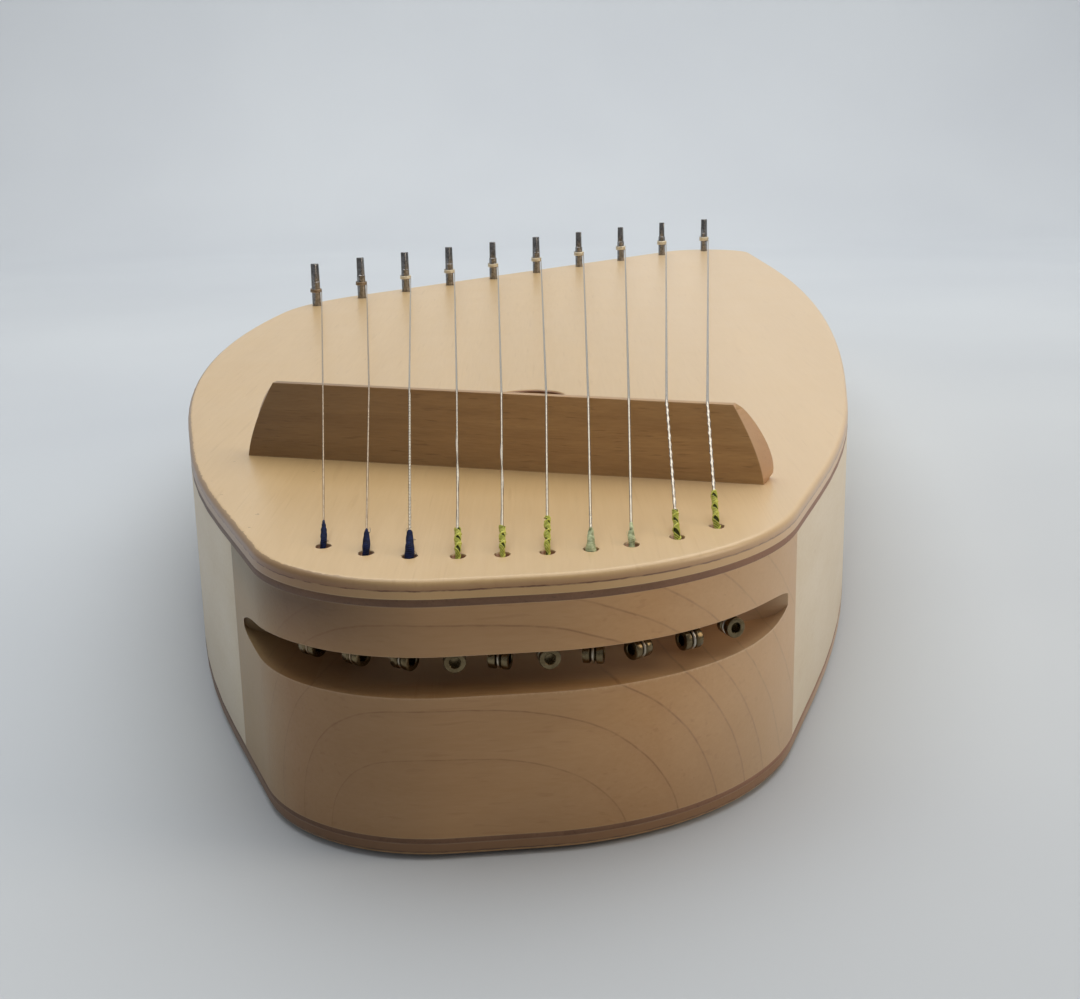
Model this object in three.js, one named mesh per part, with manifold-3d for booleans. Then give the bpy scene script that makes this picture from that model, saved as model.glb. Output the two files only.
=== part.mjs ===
// Ten-string kantele, a fan-shaped box zither played on a table.
// Millimetres, +Z up. The origin is the middle of the underside; +Y runs from the tail, where the
// strings are hooked in, to the slanted back edge with the tuning pins, and +X to the long strings.
import * as THREE from "three";
import { mergeVertices } from "three/addons/utils/BufferGeometryUtils.js";
import Module from "manifold-3d";

const wasm = await Module();
wasm.setup();

// Body
const BODY_LENGTH = 805;
const BODY_WIDTH = 305;
const BODY_HEIGHT = 69;
const FIT_GAP = 0.3; // between neighbours that follow the same curve
const CUT_OVERRUN = 5; // how far a cutting solid reaches past what it cuts

// Outline: corners round the plan, each rounded by an arc. The first two values are shares of the
// body's width and length, the third is the arc's radius as a share of the width.
const CORNER_SHARES = [
  [-0.2124, -0.5039, 0.159], // tail, left
  [0.1422, -0.4912, 0.266], // tail, right
  [0.3086, -0.3204, 2.386], // long side, front
  [0.5042, 0.0658, 7.39], // long side, middle
  [0.4965, 0.5733, 0.114], // back edge, right end
  [-0.4617, 0.1474, 0.463], // back edge, left end
  [-0.5413, -0.0925, 2.68], // short side, middle
  [-0.3612, -0.3689, 1.669], // short side, front
];
const BACK_RIGHT_INDEX = 4; // the two corners that the pin row runs between
const BACK_LEFT_INDEX = 5;
const CORNER_STEPS = [8, 8, 5, 5, 9, 8, 5, 5];

// Plates, ribs and the dark strips between them
const SOUNDBOARD_THICKNESS = 4.5;
const SOUNDBOARD_ROUND = 2;
const BACK_THICKNESS = 3.3;
const BACK_ROUND = 1.5;
const ROUND_STEPS = 3;
const RIB_THICKNESS = 3.5;
const UPPER_BINDING_HEIGHT = 1.8;
const LOWER_BINDING_HEIGHT = 1.3;

// Linings and braces
const LINING_WIDTH = 6;
const LINING_HEIGHT = 8;
const BRACE_THICKNESS = 8;
const BRACE_HEIGHT = 13;
const BRACE_TIP_HEIGHT = 4;
const BRACE_SCALLOP = 38;
const SOUNDBOARD_BRACE_SETBACKS = [182, 330]; // from the tail's front
const BACK_BRACE_SETBACKS = [250, 470];

// Tail block, with the slot that the ball ends sit in
const TAIL_BLOCK_DEPTH = 55; // part that shows, up to the seams
const TAIL_TENON_DEPTH = 12; // part behind the seams, inside the ribs
const SLOT_DEPTH = 47;
const SLOT_DROP = 23.55; // below the top, to the slot's mid-height
const SLOT_HEIGHT = 10.1;
const SLOT_ROUNDING = 12; // 2 would be an ellipse, more keeps its edges level nearer to the ends
const SLOT_TWIST = 1.5; // how far the left end droops and the right end rises
const SLOT_TWIST_POWER = 9;
const SLOT_CENTRE_SHARE = -0.0443; // across the body, of its width
const SLOT_HALF_SPAN_SHARE = 0.2344;
const SLOT_END_SHARE = 0.998; // of the half span, where its ends are cut off blunt
const SLOT_STEPS = 20;

// Pin block under the slanted back edge
const PIN_BLOCK_WIDTH = 42;
const PIN_BLOCK_HEIGHT = 32;

// Sound hole
const SOUND_HOLE_RADIUS = 13;
const SOUND_HOLE_SHARE = -0.033; // across the body
const SOUND_HOLE_SETBACK = 221.4;
const SOUND_HOLE_SIDES = 32;

// Bridge
const BRIDGE_LENGTH = 162;
const BRIDGE_TOP_LENGTH = 143.5;
const BRIDGE_HEIGHT = 23.3; // at the short strings' end
const BRIDGE_FALL = 1.1; // how much lower its top is at the long strings' end
const BRIDGE_END_POWER = 1.45; // 1 would be straight ends, more curves them
const BRIDGE_REAR_FLARE = 2.8; // how far its ends widen from front to rear, half-way up
const BRIDGE_FOOT_THICKNESS = 9;
const BRIDGE_TOP_THICKNESS = 3;
const BRIDGE_FRONT_LEAN = 1.5;
const BRIDGE_CENTRE_SHARE = -0.0646; // across the body
const BRIDGE_SETBACK = 110.5;
const BRIDGE_TURN = THREE.MathUtils.degToRad(-18);
const BRIDGE_STEPS = 6;

// Strings
const STRING_COUNT = 10;
const STRING_SIDES = 5;
const THINNEST_STRING = 0.5; // diameters, short string to long string
const THICKEST_STRING = 0.8;

// String holes along the tail
const HOLE_RADIUS = 2;
const HOLE_SIDES = 10;
const HOLE_ROW_CENTRE_SHARE = -0.0374; // across the body
const HOLE_ROW_SPAN_SHARE = 0.3196;
const HOLE_ROW_INSET = 20; // from the tail's front to the row's middle
const HOLE_ROW_SKEW = 5.3;
const HOLE_ROW_BOW = 14.9;
const HOLE_DRIFT = 0.8; // the most that a hole is off its even place, sideways
const HOLE_DRIFT_SHARES = [-0.5, 0, 0, 1, 0.75, 0.75, 0.4, -0.6, 0.4, 0.5];
const NOTCH_DRIFT = 2.4; // the same for the bridge's notches, off the straight line to the pin
const NOTCH_DRIFT_SHARES = [0.58, 0.85, 0.33, 0.33, 0.3, 0.25, 0, -0.12, -1, -1];
const BEND_HEIGHT = 1.3; // the string's bend above its hole

// Ball ends
const BALL_RADIUS = 2.6;
const BALL_LENGTH = 5;
const BALL_WAIST = 1.9;
const BALL_BORE = 1.3;
const BALL_FLANGE = 1.7;
const BALL_SIDES = 12;
const BALL_HANG = 2.9; // below the slot's roof, to the ball end's middle
const BALL_FORWARD = 12.8; // in front of the hole's mouth
const BALL_FORWARD_SKEW = 1.5; // more at the long strings, less at the short ones
const BALL_SPREAD = 2.6;
const BALL_DRIFT = 1; // the most that a ball end is off its even place, sideways
const BALL_DRIFT_SHARES = [0.5, 0.1, 0.4, 0, -0.5, -0.6, -1, -0.9, -0.4, -0.7];
const BALL_TURNS_DEG = [50, 50, 55, 5, 75, 10, 80, 130, 120, 25]; // 0 shows the bore to the front

// Silk wraps on the strings where they leave their holes
const WRAP_RADIUS = 1.05;
const WRAP_BORE = 0.78;
const WRAP_SIDES = 6;
const WRAP_BALL_GAP = 2.4; // from where the string leaves its ball end
const LONGEST_WRAP = 13.4;
const WRAP_LENGTH_SHARES = [0.74, 0.67, 0.7, 0.78, 0.78, 1, 0.5, 0.51, 0.67, 0.86];

// Tuning pins
const PIN_RADIUS = 2.4;
const PIN_SIDES = 10;
const PIN_RISE = 23.5; // above the top
const PIN_SEAT_DEPTH = 27; // below the top
const PIN_HEAD_HEIGHT = 10;
const PIN_HEAD_TOP_SHARE = 0.82;
const PIN_TIP_CHAMFER = 0.6;
const PIN_CLEARANCE = 0.35;
const PIN_HOLE_SIDES = 12;
const PIN_ROW_SETBACK = 18.5; // towards the tail, from the back edge
const PIN_ROW_LEFT_BOW = 7; // more at the row's two ends, where the corners are round
const PIN_ROW_RIGHT_BOW = 17;
const PIN_ROW_START_SHARE = -0.4289; // across the body
const PIN_PITCH_SHARE = 0.06934;
const PIN_PITCH_GROWTH_SHARE = 0.002466; // each pitch is wider than the last by twice this

// String coils on the pins
const COIL_RISE = 7.5; // of the lowest turn above the top
const COIL_TURNS = 3;
const COIL_TURN_STEPS = 9;
const COIL_CLEARANCE = 0.4;
const COIL_PITCH_SHARE = 1.15;
const COIL_WIRE_SIDES = 4;
const STRING_END_GAP = 3; // from the string's end to where it meets the coil

// Levels
const TOP = BODY_HEIGHT;
const BOARD_UNDERSIDE = TOP - SOUNDBOARD_THICKNESS;
const RIB_TOP = BOARD_UNDERSIDE - UPPER_BINDING_HEIGHT;
const RIB_FOOT = BACK_THICKNESS + LOWER_BINDING_HEIGHT;
const TAIL_FRONT = -BODY_LENGTH / 2;
const SEAM_Y = TAIL_FRONT + TAIL_BLOCK_DEPTH;
const INNER_INSET = RIB_THICKNESS + FIT_GAP;
const SLOT_CENTRE = SLOT_CENTRE_SHARE * BODY_WIDTH;
const SLOT_HALF_SPAN = SLOT_HALF_SPAN_SHARE * BODY_WIDTH;
const SOUND_HOLE = new THREE.Vector2(SOUND_HOLE_SHARE * BODY_WIDTH, TAIL_FRONT + SOUND_HOLE_SETBACK);
const BRIDGE_PLACE = new THREE.Vector2(
  BRIDGE_CENTRE_SHARE * BODY_WIDTH, TAIL_FRONT + BRIDGE_SETBACK);

const MATERIALS = {
  birchPly: new THREE.MeshStandardMaterial({ color: 0xe4cfa6, roughness: 0.45, metalness: 0 }),
  birchRib: new THREE.MeshStandardMaterial({ color: 0xdcc6a0, roughness: 0.5, metalness: 0 }),
  maple: new THREE.MeshStandardMaterial({ color: 0xc9a981, roughness: 0.45, metalness: 0 }),
  spruce: new THREE.MeshStandardMaterial({ color: 0xdcbf8c, roughness: 0.7, metalness: 0 }),
  walnut: new THREE.MeshStandardMaterial({ color: 0x6b5443, roughness: 0.5, metalness: 0 }),
  binding: new THREE.MeshStandardMaterial({ color: 0x7a5c42, roughness: 0.5, metalness: 0 }),
  steel: new THREE.MeshStandardMaterial({ color: 0xb9bbbd, roughness: 0.3, metalness: 1 }),
  pinSteel: new THREE.MeshStandardMaterial({ color: 0x6e6f72, roughness: 0.35, metalness: 1 }),
  blueSilk: new THREE.MeshStandardMaterial({ color: 0x263a6e, roughness: 0.8, metalness: 0 }),
  limeSilk: new THREE.MeshStandardMaterial({ color: 0x9db53a, roughness: 0.8, metalness: 0 }),
  paleSilk: new THREE.MeshStandardMaterial({ color: 0xa9bc8a, roughness: 0.8, metalness: 0 }),
};
const WRAP_MATERIALS = ["blueSilk", "blueSilk", "blueSilk", "limeSilk", "limeSilk", "limeSilk",
  "paleSilk", "paleSilk", "limeSilk", "limeSilk"];

const kantele = new THREE.Group();

function addMesh(name, geometry, material) {
  const mesh = new THREE.Mesh(geometry, MATERIALS[material]);
  mesh.name = name;
  kantele.add(mesh);
  return mesh;
}

// Solids for cutting and joining
function solidOf(geometry) {
  const bare = geometry.index ? geometry.toNonIndexed() : geometry.clone();
  bare.deleteAttribute("normal");
  bare.deleteAttribute("uv");
  const merged = mergeVertices(bare);
  return new wasm.Manifold(new wasm.Mesh({
    numProp: 3,
    vertProperties: merged.attributes.position.array,
    triVerts: new Uint32Array(merged.index.array),
  }));
}

function geometryOf(solid) {
  const mesh = solid.getMesh();
  const geometry = new THREE.BufferGeometry();
  geometry.setAttribute("position", new THREE.BufferAttribute(mesh.vertProperties, 3));
  geometry.setIndex(new THREE.BufferAttribute(mesh.triVerts, 1));
  const faceted = geometry.toNonIndexed();
  faceted.computeVertexNormals();
  return faceted;
}

function block(min, max) {
  const size = new THREE.Vector3().subVectors(max, min);
  const geometry = new THREE.BoxGeometry(size.x, size.y, size.z);
  const middle = new THREE.Vector3().addVectors(min, max).multiplyScalar(0.5);
  return solidOf(geometry.translate(middle.x, middle.y, middle.z));
}

// A solid between rings of points that match one to one, each at its own height
function loft(rings) {
  const count = rings[0].points.length;
  const positions = [];
  const corner = (ring, i) => [ring.points[i % count].x, ring.points[i % count].y, ring.z];
  for (let level = 1; level < rings.length; level++) {
    const lower = rings[level - 1];
    const upper = rings[level];
    for (let i = 0; i < count; i++) {
      positions.push(...corner(lower, i), ...corner(lower, i + 1), ...corner(upper, i + 1));
      positions.push(...corner(lower, i), ...corner(upper, i + 1), ...corner(upper, i));
    }
  }
  const first = rings[0];
  const last = rings[rings.length - 1];
  for (const [a, b, c] of THREE.ShapeUtils.triangulateShape(first.points, [])) {
    positions.push(...corner(first, a), ...corner(first, c), ...corner(first, b));
    positions.push(...corner(last, a), ...corner(last, b), ...corner(last, c));
  }
  const geometry = new THREE.BufferGeometry();
  geometry.setAttribute("position", new THREE.Float32BufferAttribute(positions, 3));
  return geometry;
}

// A straight rod between two points
function rod(from, to, radius, sides) {
  const axis = new THREE.Vector3().subVectors(to, from);
  const geometry = new THREE.CylinderGeometry(radius, radius, axis.length(), sides);
  const middle = new THREE.Vector3().addVectors(from, to).multiplyScalar(0.5);
  geometry.applyQuaternion(
    new THREE.Quaternion().setFromUnitVectors(new THREE.Vector3(0, 1, 0), axis.normalize()));
  return geometry.translate(middle.x, middle.y, middle.z);
}

function ringPoints(radius, sides) {
  return Array.from({ length: sides }, (_, i) => {
    const angle = (i / sides) * Math.PI * 2;
    return new THREE.Vector2(radius * Math.cos(angle), radius * Math.sin(angle));
  });
}

// A path that bends only at its own points, for wire that is pulled taut
class TautPath extends THREE.Curve {
  constructor(points) {
    super();
    this.points = points;
  }
  getPoint(t, target = new THREE.Vector3()) {
    const spans = this.points.length - 1;
    const i = Math.min(Math.floor(t * spans), spans - 1);
    return target.lerpVectors(this.points[i], this.points[i + 1], t * spans - i);
  }
  getPointAt(u, target) {
    return this.getPoint(u, target);
  }
  getTangentAt(u, target = new THREE.Vector3()) {
    const last = this.points.length - 1;
    const i = Math.round(u * last);
    const before = new THREE.Vector3();
    const after = new THREE.Vector3();
    if (i > 0) before.subVectors(this.points[i], this.points[i - 1]).normalize();
    if (i < last) after.subVectors(this.points[i + 1], this.points[i]).normalize();
    return target.addVectors(before, after).normalize();
  }
}

class HelixPath extends THREE.Curve {
  constructor(centre, radius, startAngle, pitch, turns) {
    super();
    Object.assign(this, { centre, radius, startAngle, pitch, turns });
  }
  getPoint(t, target = new THREE.Vector3()) {
    const angle = this.startAngle + t * this.turns * Math.PI * 2;
    return target.set(
      this.centre.x + this.radius * Math.cos(angle),
      this.centre.y + this.radius * Math.sin(angle),
      this.centre.z + t * this.turns * this.pitch);
  }
}

function tube(path, steps, section) {
  return new THREE.ExtrudeGeometry(section, { extrudePath: path, steps, bevelEnabled: false });
}

function wire(points, radius) {
  return tube(new TautPath(points), points.length - 1,
    new THREE.Shape(ringPoints(radius, STRING_SIDES)));
}

// Plan outline
function outlineArcs() {
  const corners = CORNER_SHARES.map(([x, y, radius]) => ({
    at: new THREE.Vector2(x * BODY_WIDTH, y * BODY_LENGTH),
    radius: radius * BODY_WIDTH,
  }));
  const count = corners.length;
  corners.forEach((corner, i) => {
    corner.toPrevious = corners[(i + count - 1) % count].at.clone().sub(corner.at);
    corner.toNext = corners[(i + 1) % count].at.clone().sub(corner.at);
    const angle = corner.toPrevious.angleTo(corner.toNext);
    corner.half = angle / 2;
    corner.tangent = corner.radius / Math.tan(corner.half);
  });
  // Where two arcs would meet on one side, both are made smaller to fit it.
  const room = corners.map((corner, i) =>
    Math.min(1, corner.toNext.length() / (corner.tangent + corners[(i + 1) % count].tangent)));
  return corners.map((corner, i) => {
    const tangent = corner.tangent * Math.min(room[i], room[(i + count - 1) % count]);
    const before = corner.toPrevious.clone().normalize();
    const after = corner.toNext.clone().normalize();
    const radius = tangent * Math.tan(corner.half);
    const inward = before.clone().add(after).normalize();
    const centre = corner.at.clone().addScaledVector(inward, radius / Math.sin(corner.half));
    const start = corner.at.clone().addScaledVector(before, tangent).sub(centre).angle();
    const sweep = Math.PI - corner.half * 2;
    return { centre, radius, start, sweep, steps: CORNER_STEPS[i] };
  });
}

const ARCS = outlineArcs();

// The outline moved inwards by an inset, counterclockwise; every inset gives matching points.
function outlinePoints(inset) {
  return ARCS.flatMap((arc) => Array.from({ length: arc.steps + 1 }, (_, i) => {
    const angle = arc.start + (arc.sweep * i) / arc.steps;
    return new THREE.Vector2(
      arc.centre.x + (arc.radius - inset) * Math.cos(angle),
      arc.centre.y + (arc.radius - inset) * Math.sin(angle));
  }));
}

function slab(inset, low, high) {
  return solidOf(loft([
    { points: outlinePoints(inset), z: low },
    { points: outlinePoints(inset), z: high },
  ]));
}

function hoop(outerInset, innerInset, low, high) {
  return slab(outerInset, low, high)
    .subtract(slab(innerInset, low - CUT_OVERRUN, high + CUT_OVERRUN));
}

// Everything with y between two values
function zone(yMin, yMax) {
  return block(
    new THREE.Vector3(-BODY_WIDTH, yMin, -BODY_HEIGHT),
    new THREE.Vector3(BODY_WIDTH, yMax, BODY_HEIGHT + BODY_HEIGHT));
}

// Everything to the left of an x
function leftOf(x) {
  return block(
    new THREE.Vector3(-BODY_WIDTH, -BODY_LENGTH, -BODY_HEIGHT),
    new THREE.Vector3(x, BODY_LENGTH, BODY_HEIGHT + BODY_HEIGHT));
}

// The back edge's line, for the pins and their block
const cornerAt = (i) => new THREE.Vector2(
  CORNER_SHARES[i][0] * BODY_WIDTH, CORNER_SHARES[i][1] * BODY_LENGTH);
const BACK_START = cornerAt(BACK_LEFT_INDEX);
const BACK_ALONG = cornerAt(BACK_RIGHT_INDEX).sub(BACK_START).normalize();
const BACK_INWARD = new THREE.Vector2(BACK_ALONG.y, -BACK_ALONG.x);

// Everything nearer to the back edge than a distance
function behindLine(distance) {
  const reach = BODY_LENGTH + BODY_WIDTH;
  const centre = BACK_START.clone().addScaledVector(BACK_INWARD, distance - reach / 2);
  const geometry = new THREE.BoxGeometry(reach + reach, reach, reach);
  geometry.rotateZ(BACK_ALONG.angle());
  return solidOf(geometry.translate(centre.x, centre.y, 0));
}

// Where each string goes
const alongRow = (i) => (i / (STRING_COUNT - 1)) * 2 - 1; // -1 at the short string, 1 at the long one
const pick = (values, i) => values[i % values.length];

// Height of the bridge's top at a place along it, from -1 at the short strings' end to 1
const bridgeTop = (along) => BRIDGE_HEIGHT - (BRIDGE_FALL * (along + 1)) / 2;

// Depth of the slot's roof, way -1, or of its floor, way 1, below the top
function slotDrop(x, way) {
  const t = (x - SLOT_CENTRE) / SLOT_HALF_SPAN;
  const half = (SLOT_HEIGHT / 2) * Math.sqrt(1 - Math.abs(t) ** SLOT_ROUNDING);
  return SLOT_DROP - SLOT_TWIST * t ** SLOT_TWIST_POWER + way * half;
}

function stringLine(i) {
  const t = alongRow(i);
  const hole = new THREE.Vector3(
    (HOLE_ROW_CENTRE_SHARE + (t * HOLE_ROW_SPAN_SHARE) / 2) * BODY_WIDTH
      + HOLE_DRIFT * pick(HOLE_DRIFT_SHARES, i),
    TAIL_FRONT + HOLE_ROW_INSET + HOLE_ROW_SKEW * t + HOLE_ROW_BOW * Math.abs(t) ** 3,
    TOP);
  const ballX = hole.x + BALL_SPREAD * t + BALL_DRIFT * pick(BALL_DRIFT_SHARES, i);
  const ball = new THREE.Vector3(
    ballX, hole.y - BALL_FORWARD - BALL_FORWARD_SKEW * t, TOP - slotDrop(ballX, -1) - BALL_HANG);
  const root = ball.clone().setZ(ball.z + (BALL_WAIST + BALL_BORE) / 2);
  const pinX = BODY_WIDTH
    * (PIN_ROW_START_SHARE + PIN_PITCH_SHARE * i + PIN_PITCH_GROWTH_SHARE * i * i);
  const edgeY = BACK_START.y + ((pinX - BACK_START.x) * BACK_ALONG.y) / BACK_ALONG.x;
  const bow = (t < 0 ? PIN_ROW_LEFT_BOW : PIN_ROW_RIGHT_BOW) * t ** 8;
  const pin = new THREE.Vector3(pinX, edgeY - PIN_ROW_SETBACK - bow, TOP);
  const radius = THREE.MathUtils.lerp(THINNEST_STRING, THICKEST_STRING, i / (STRING_COUNT - 1)) / 2;
  const coilRadius = PIN_RADIUS + COIL_CLEARANCE + radius;

  // The string touches its coil on the right, where the coil's circle has the string as tangent.
  const reach = new THREE.Vector2(pin.x - hole.x, pin.y - hole.y);
  const turn = Math.asin(coilRadius / reach.length());
  const heading = reach.angle() - turn;
  const sideAngle = heading - Math.PI / 2;
  const touch = new THREE.Vector3(
    pin.x + coilRadius * Math.cos(sideAngle),
    pin.y + coilRadius * Math.sin(sideAngle),
    TOP + COIL_RISE);

  // It crosses the bridge over the front edge of its top.
  const crossing = new THREE.Vector3();
  const along = new THREE.Vector2(Math.cos(BRIDGE_TURN), Math.sin(BRIDGE_TURN));
  const across = new THREE.Vector2(-along.y, along.x);
  const edge = across.clone().multiplyScalar(BRIDGE_FRONT_LEAN - BRIDGE_FOOT_THICKNESS / 2)
    .add(BRIDGE_PLACE);
  const toEdge = edge.clone().sub(new THREE.Vector2(hole.x, hole.y));
  const run = new THREE.Vector2(touch.x - hole.x, touch.y - hole.y);
  const share = toEdge.dot(across) / run.dot(across);
  const shift = along.clone().multiplyScalar((NOTCH_DRIFT * pick(NOTCH_DRIFT_SHARES, i)) / along.x);
  crossing.set(hole.x + run.x * share + shift.x, hole.y + run.y * share + shift.y, 0);
  const spot = new THREE.Vector2(crossing.x, crossing.y).sub(BRIDGE_PLACE).dot(along);
  crossing.z = TOP + bridgeTop(spot / (BRIDGE_TOP_LENGTH / 2)) + FIT_GAP + radius;
  const end = touch.clone().addScaledVector(
    crossing.clone().sub(touch).normalize(), STRING_END_GAP);

  const channel = hole.clone().sub(root).normalize();
  const bend = hole.clone().addScaledVector(channel, BEND_HEIGHT / channel.z);
  return { i, hole, ball, root, channel, bend, crossing, end, touch, pin, radius, coilRadius, sideAngle };
}

const LINES = Array.from({ length: STRING_COUNT }, (_, i) => stringLine(i));

// Channels for the strings through soundboard and tail block
function channels() {
  return LINES.map((line) => solidOf(rod(
    line.hole.clone().addScaledVector(line.channel, CUT_OVERRUN),
    line.root, HOLE_RADIUS, HOLE_SIDES)));
}

// Holes for the pins through soundboard and pin block
function pinHoles(depth) {
  return LINES.map((line) => solidOf(rod(
    line.pin.clone().setZ(TOP + CUT_OVERRUN), line.pin.clone().setZ(TOP - depth),
    PIN_RADIUS + PIN_CLEARANCE, PIN_HOLE_SIDES)));
}

const cutAll = (solid, cutters) => cutters.reduce((rest, cutter) => rest.subtract(cutter), solid);

// Plates with a rounded outer edge
function roundedRings(low, high, round, atTop) {
  const rings = [];
  for (let i = 0; i <= ROUND_STEPS; i++) {
    const angle = (i / ROUND_STEPS) * (Math.PI / 2);
    const inset = round * (1 - Math.cos(angle));
    const rise = round * Math.sin(angle);
    rings.push({
      points: outlinePoints(inset),
      z: atTop ? high - round + rise : low + round - rise,
    });
  }
  const flat = { points: outlinePoints(0), z: atTop ? low : high };
  return atTop ? [flat, ...rings] : [...rings.reverse(), flat];
}

function soundboard() {
  const board = solidOf(loft(roundedRings(BOARD_UNDERSIDE, TOP, SOUNDBOARD_ROUND, true)));
  const soundHole = solidOf(rod(
    new THREE.Vector3(SOUND_HOLE.x, SOUND_HOLE.y, TOP + CUT_OVERRUN),
    new THREE.Vector3(SOUND_HOLE.x, SOUND_HOLE.y, BOARD_UNDERSIDE - CUT_OVERRUN),
    SOUND_HOLE_RADIUS, SOUND_HOLE_SIDES));
  return cutAll(board, [soundHole, ...channels(),
    ...pinHoles(SOUNDBOARD_THICKNESS + CUT_OVERRUN)]);
}

// The slot is level with rounded ends in front view, and cut straight back to one flat wall.
function slotLens() {
  const edge = (way) => Array.from({ length: SLOT_STEPS + 1 }, (_, i) => {
    const x = SLOT_CENTRE - SLOT_HALF_SPAN * SLOT_END_SHARE * Math.cos((Math.PI * i) / SLOT_STEPS);
    return new THREE.Vector2(x, TOP - slotDrop(x, way));
  });
  const points = [...edge(1), ...edge(-1).reverse()];
  const geometry = new THREE.ExtrudeGeometry(new THREE.Shape(points), {
    depth: SLOT_DEPTH + CUT_OVERRUN, steps: 1, bevelEnabled: false,
  });
  geometry.rotateX(Math.PI / 2);
  return solidOf(geometry.translate(0, TAIL_FRONT + SLOT_DEPTH, 0));
}

function tailBlock() {
  const shown = slab(0, RIB_FOOT, RIB_TOP).intersect(zone(TAIL_FRONT - BODY_WIDTH, SEAM_Y));
  const tenon = slab(INNER_INSET, BACK_THICKNESS, BOARD_UNDERSIDE)
    .intersect(zone(TAIL_FRONT - BODY_WIDTH, SEAM_Y + TAIL_TENON_DEPTH));
  return cutAll(shown.add(tenon), [slotLens(), ...channels()]);
}

function pinBlock() {
  const body = slab(INNER_INSET, BOARD_UNDERSIDE - PIN_BLOCK_HEIGHT, BOARD_UNDERSIDE)
    .intersect(behindLine(PIN_BLOCK_WIDTH));
  return cutAll(body, pinHoles(PIN_SEAT_DEPTH + FIT_GAP));
}

// Two bent ribs, from the seams of the tail round to a butt joint in the middle of the back edge
function sideRibs() {
  const both = hoop(0, RIB_THICKNESS, RIB_FOOT, RIB_TOP)
    .intersect(zone(SEAM_Y + FIT_GAP, BODY_LENGTH));
  return [
    both.intersect(leftOf(SLOT_CENTRE - FIT_GAP / 2)),
    both.subtract(leftOf(SLOT_CENTRE + FIT_GAP / 2)),
  ];
}

function upperLinings() {
  const ring = hoop(INNER_INSET, INNER_INSET + LINING_WIDTH,
    BOARD_UNDERSIDE - LINING_HEIGHT, BOARD_UNDERSIDE)
    .intersect(zone(SEAM_Y + TAIL_TENON_DEPTH + FIT_GAP, BODY_LENGTH))
    .subtract(behindLine(PIN_BLOCK_WIDTH + FIT_GAP));
  const left = leftOf(SLOT_CENTRE);
  return [ring.intersect(left), ring.subtract(left)];
}

function lowerLining() {
  return hoop(INNER_INSET, INNER_INSET + LINING_WIDTH,
    BACK_THICKNESS, BACK_THICKNESS + LINING_HEIGHT)
    .intersect(zone(SEAM_Y + TAIL_TENON_DEPTH + FIT_GAP, BODY_LENGTH));
}

// A bar across the body with its ends scooped down; its flat side is at z = 0 and it rises to +Z.
function braceBar(setback, seat, direction) {
  const inset = INNER_INSET + LINING_WIDTH + FIT_GAP;
  const y = TAIL_FRONT + setback;
  const strip = slab(inset, seat - BRACE_HEIGHT, seat + BRACE_HEIGHT)
    .intersect(zone(y - BRACE_THICKNESS / 2, y + BRACE_THICKNESS / 2));
  const { min, max } = strip.boundingBox();
  const elevation = new THREE.Shape();
  elevation.moveTo(min[0] - CUT_OVERRUN, 0);
  elevation.lineTo(max[0] + CUT_OVERRUN, 0);
  elevation.lineTo(max[0] + CUT_OVERRUN, BRACE_TIP_HEIGHT);
  elevation.lineTo(max[0], BRACE_TIP_HEIGHT);
  elevation.quadraticCurveTo(max[0] - BRACE_SCALLOP / 2, BRACE_TIP_HEIGHT,
    max[0] - BRACE_SCALLOP, BRACE_HEIGHT);
  elevation.lineTo(min[0] + BRACE_SCALLOP, BRACE_HEIGHT);
  elevation.quadraticCurveTo(min[0] + BRACE_SCALLOP / 2, BRACE_TIP_HEIGHT,
    min[0], BRACE_TIP_HEIGHT);
  elevation.lineTo(min[0] - CUT_OVERRUN, BRACE_TIP_HEIGHT);
  const geometry = new THREE.ExtrudeGeometry(elevation, {
    depth: BRACE_THICKNESS + CUT_OVERRUN, steps: 1, bevelEnabled: false, curveSegments: BRIDGE_STEPS,
  });
  geometry.translate(0, 0, -(BRACE_THICKNESS + CUT_OVERRUN) / 2);
  geometry.rotateX((direction * Math.PI) / 2);
  return strip.intersect(solidOf(geometry.translate(0, y, seat)));
}

// The bridge: ends that curve in towards the top and flare to the rear, faces that lean together,
// and a top that falls a little towards the long strings
function bridge() {
  const half = BRIDGE_LENGTH / 2;
  const topHalf = BRIDGE_TOP_LENGTH / 2;
  const points = [];
  for (let i = 0; i <= BRIDGE_STEPS; i++) {
    const rise = i / BRIDGE_STEPS;
    points.push(new THREE.Vector2(
      THREE.MathUtils.lerp(half, topHalf, rise ** BRIDGE_END_POWER), rise * BRIDGE_HEIGHT));
  }
  const mirrored = points.map((point) => new THREE.Vector2(-point.x, point.y)).reverse();
  const elevation = new THREE.Shape([...points, ...mirrored]);
  const geometry = new THREE.ExtrudeGeometry(elevation, {
    depth: 1, steps: 1, bevelEnabled: false,
  });
  const position = geometry.getAttribute("position");
  const rearLean = BRIDGE_FOOT_THICKNESS - BRIDGE_TOP_THICKNESS - BRIDGE_FRONT_LEAN;
  for (let i = 0; i < position.count; i++) {
    const x = position.getX(i);
    const rise = position.getY(i) / BRIDGE_HEIGHT;
    const front = -BRIDGE_FOOT_THICKNESS / 2 + BRIDGE_FRONT_LEAN * rise;
    const rear = BRIDGE_FOOT_THICKNESS / 2 - rearLean * rise;
    const flare = BRIDGE_REAR_FLARE * Math.sqrt(Math.max(0, 4 * rise * (1 - rise)));
    position.setXYZ(i, x + Math.sign(x) * flare * (1 - position.getZ(i)),
      THREE.MathUtils.lerp(rear, front, position.getZ(i)), rise * bridgeTop(x / topHalf));
  }
  return geometry;
}

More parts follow.
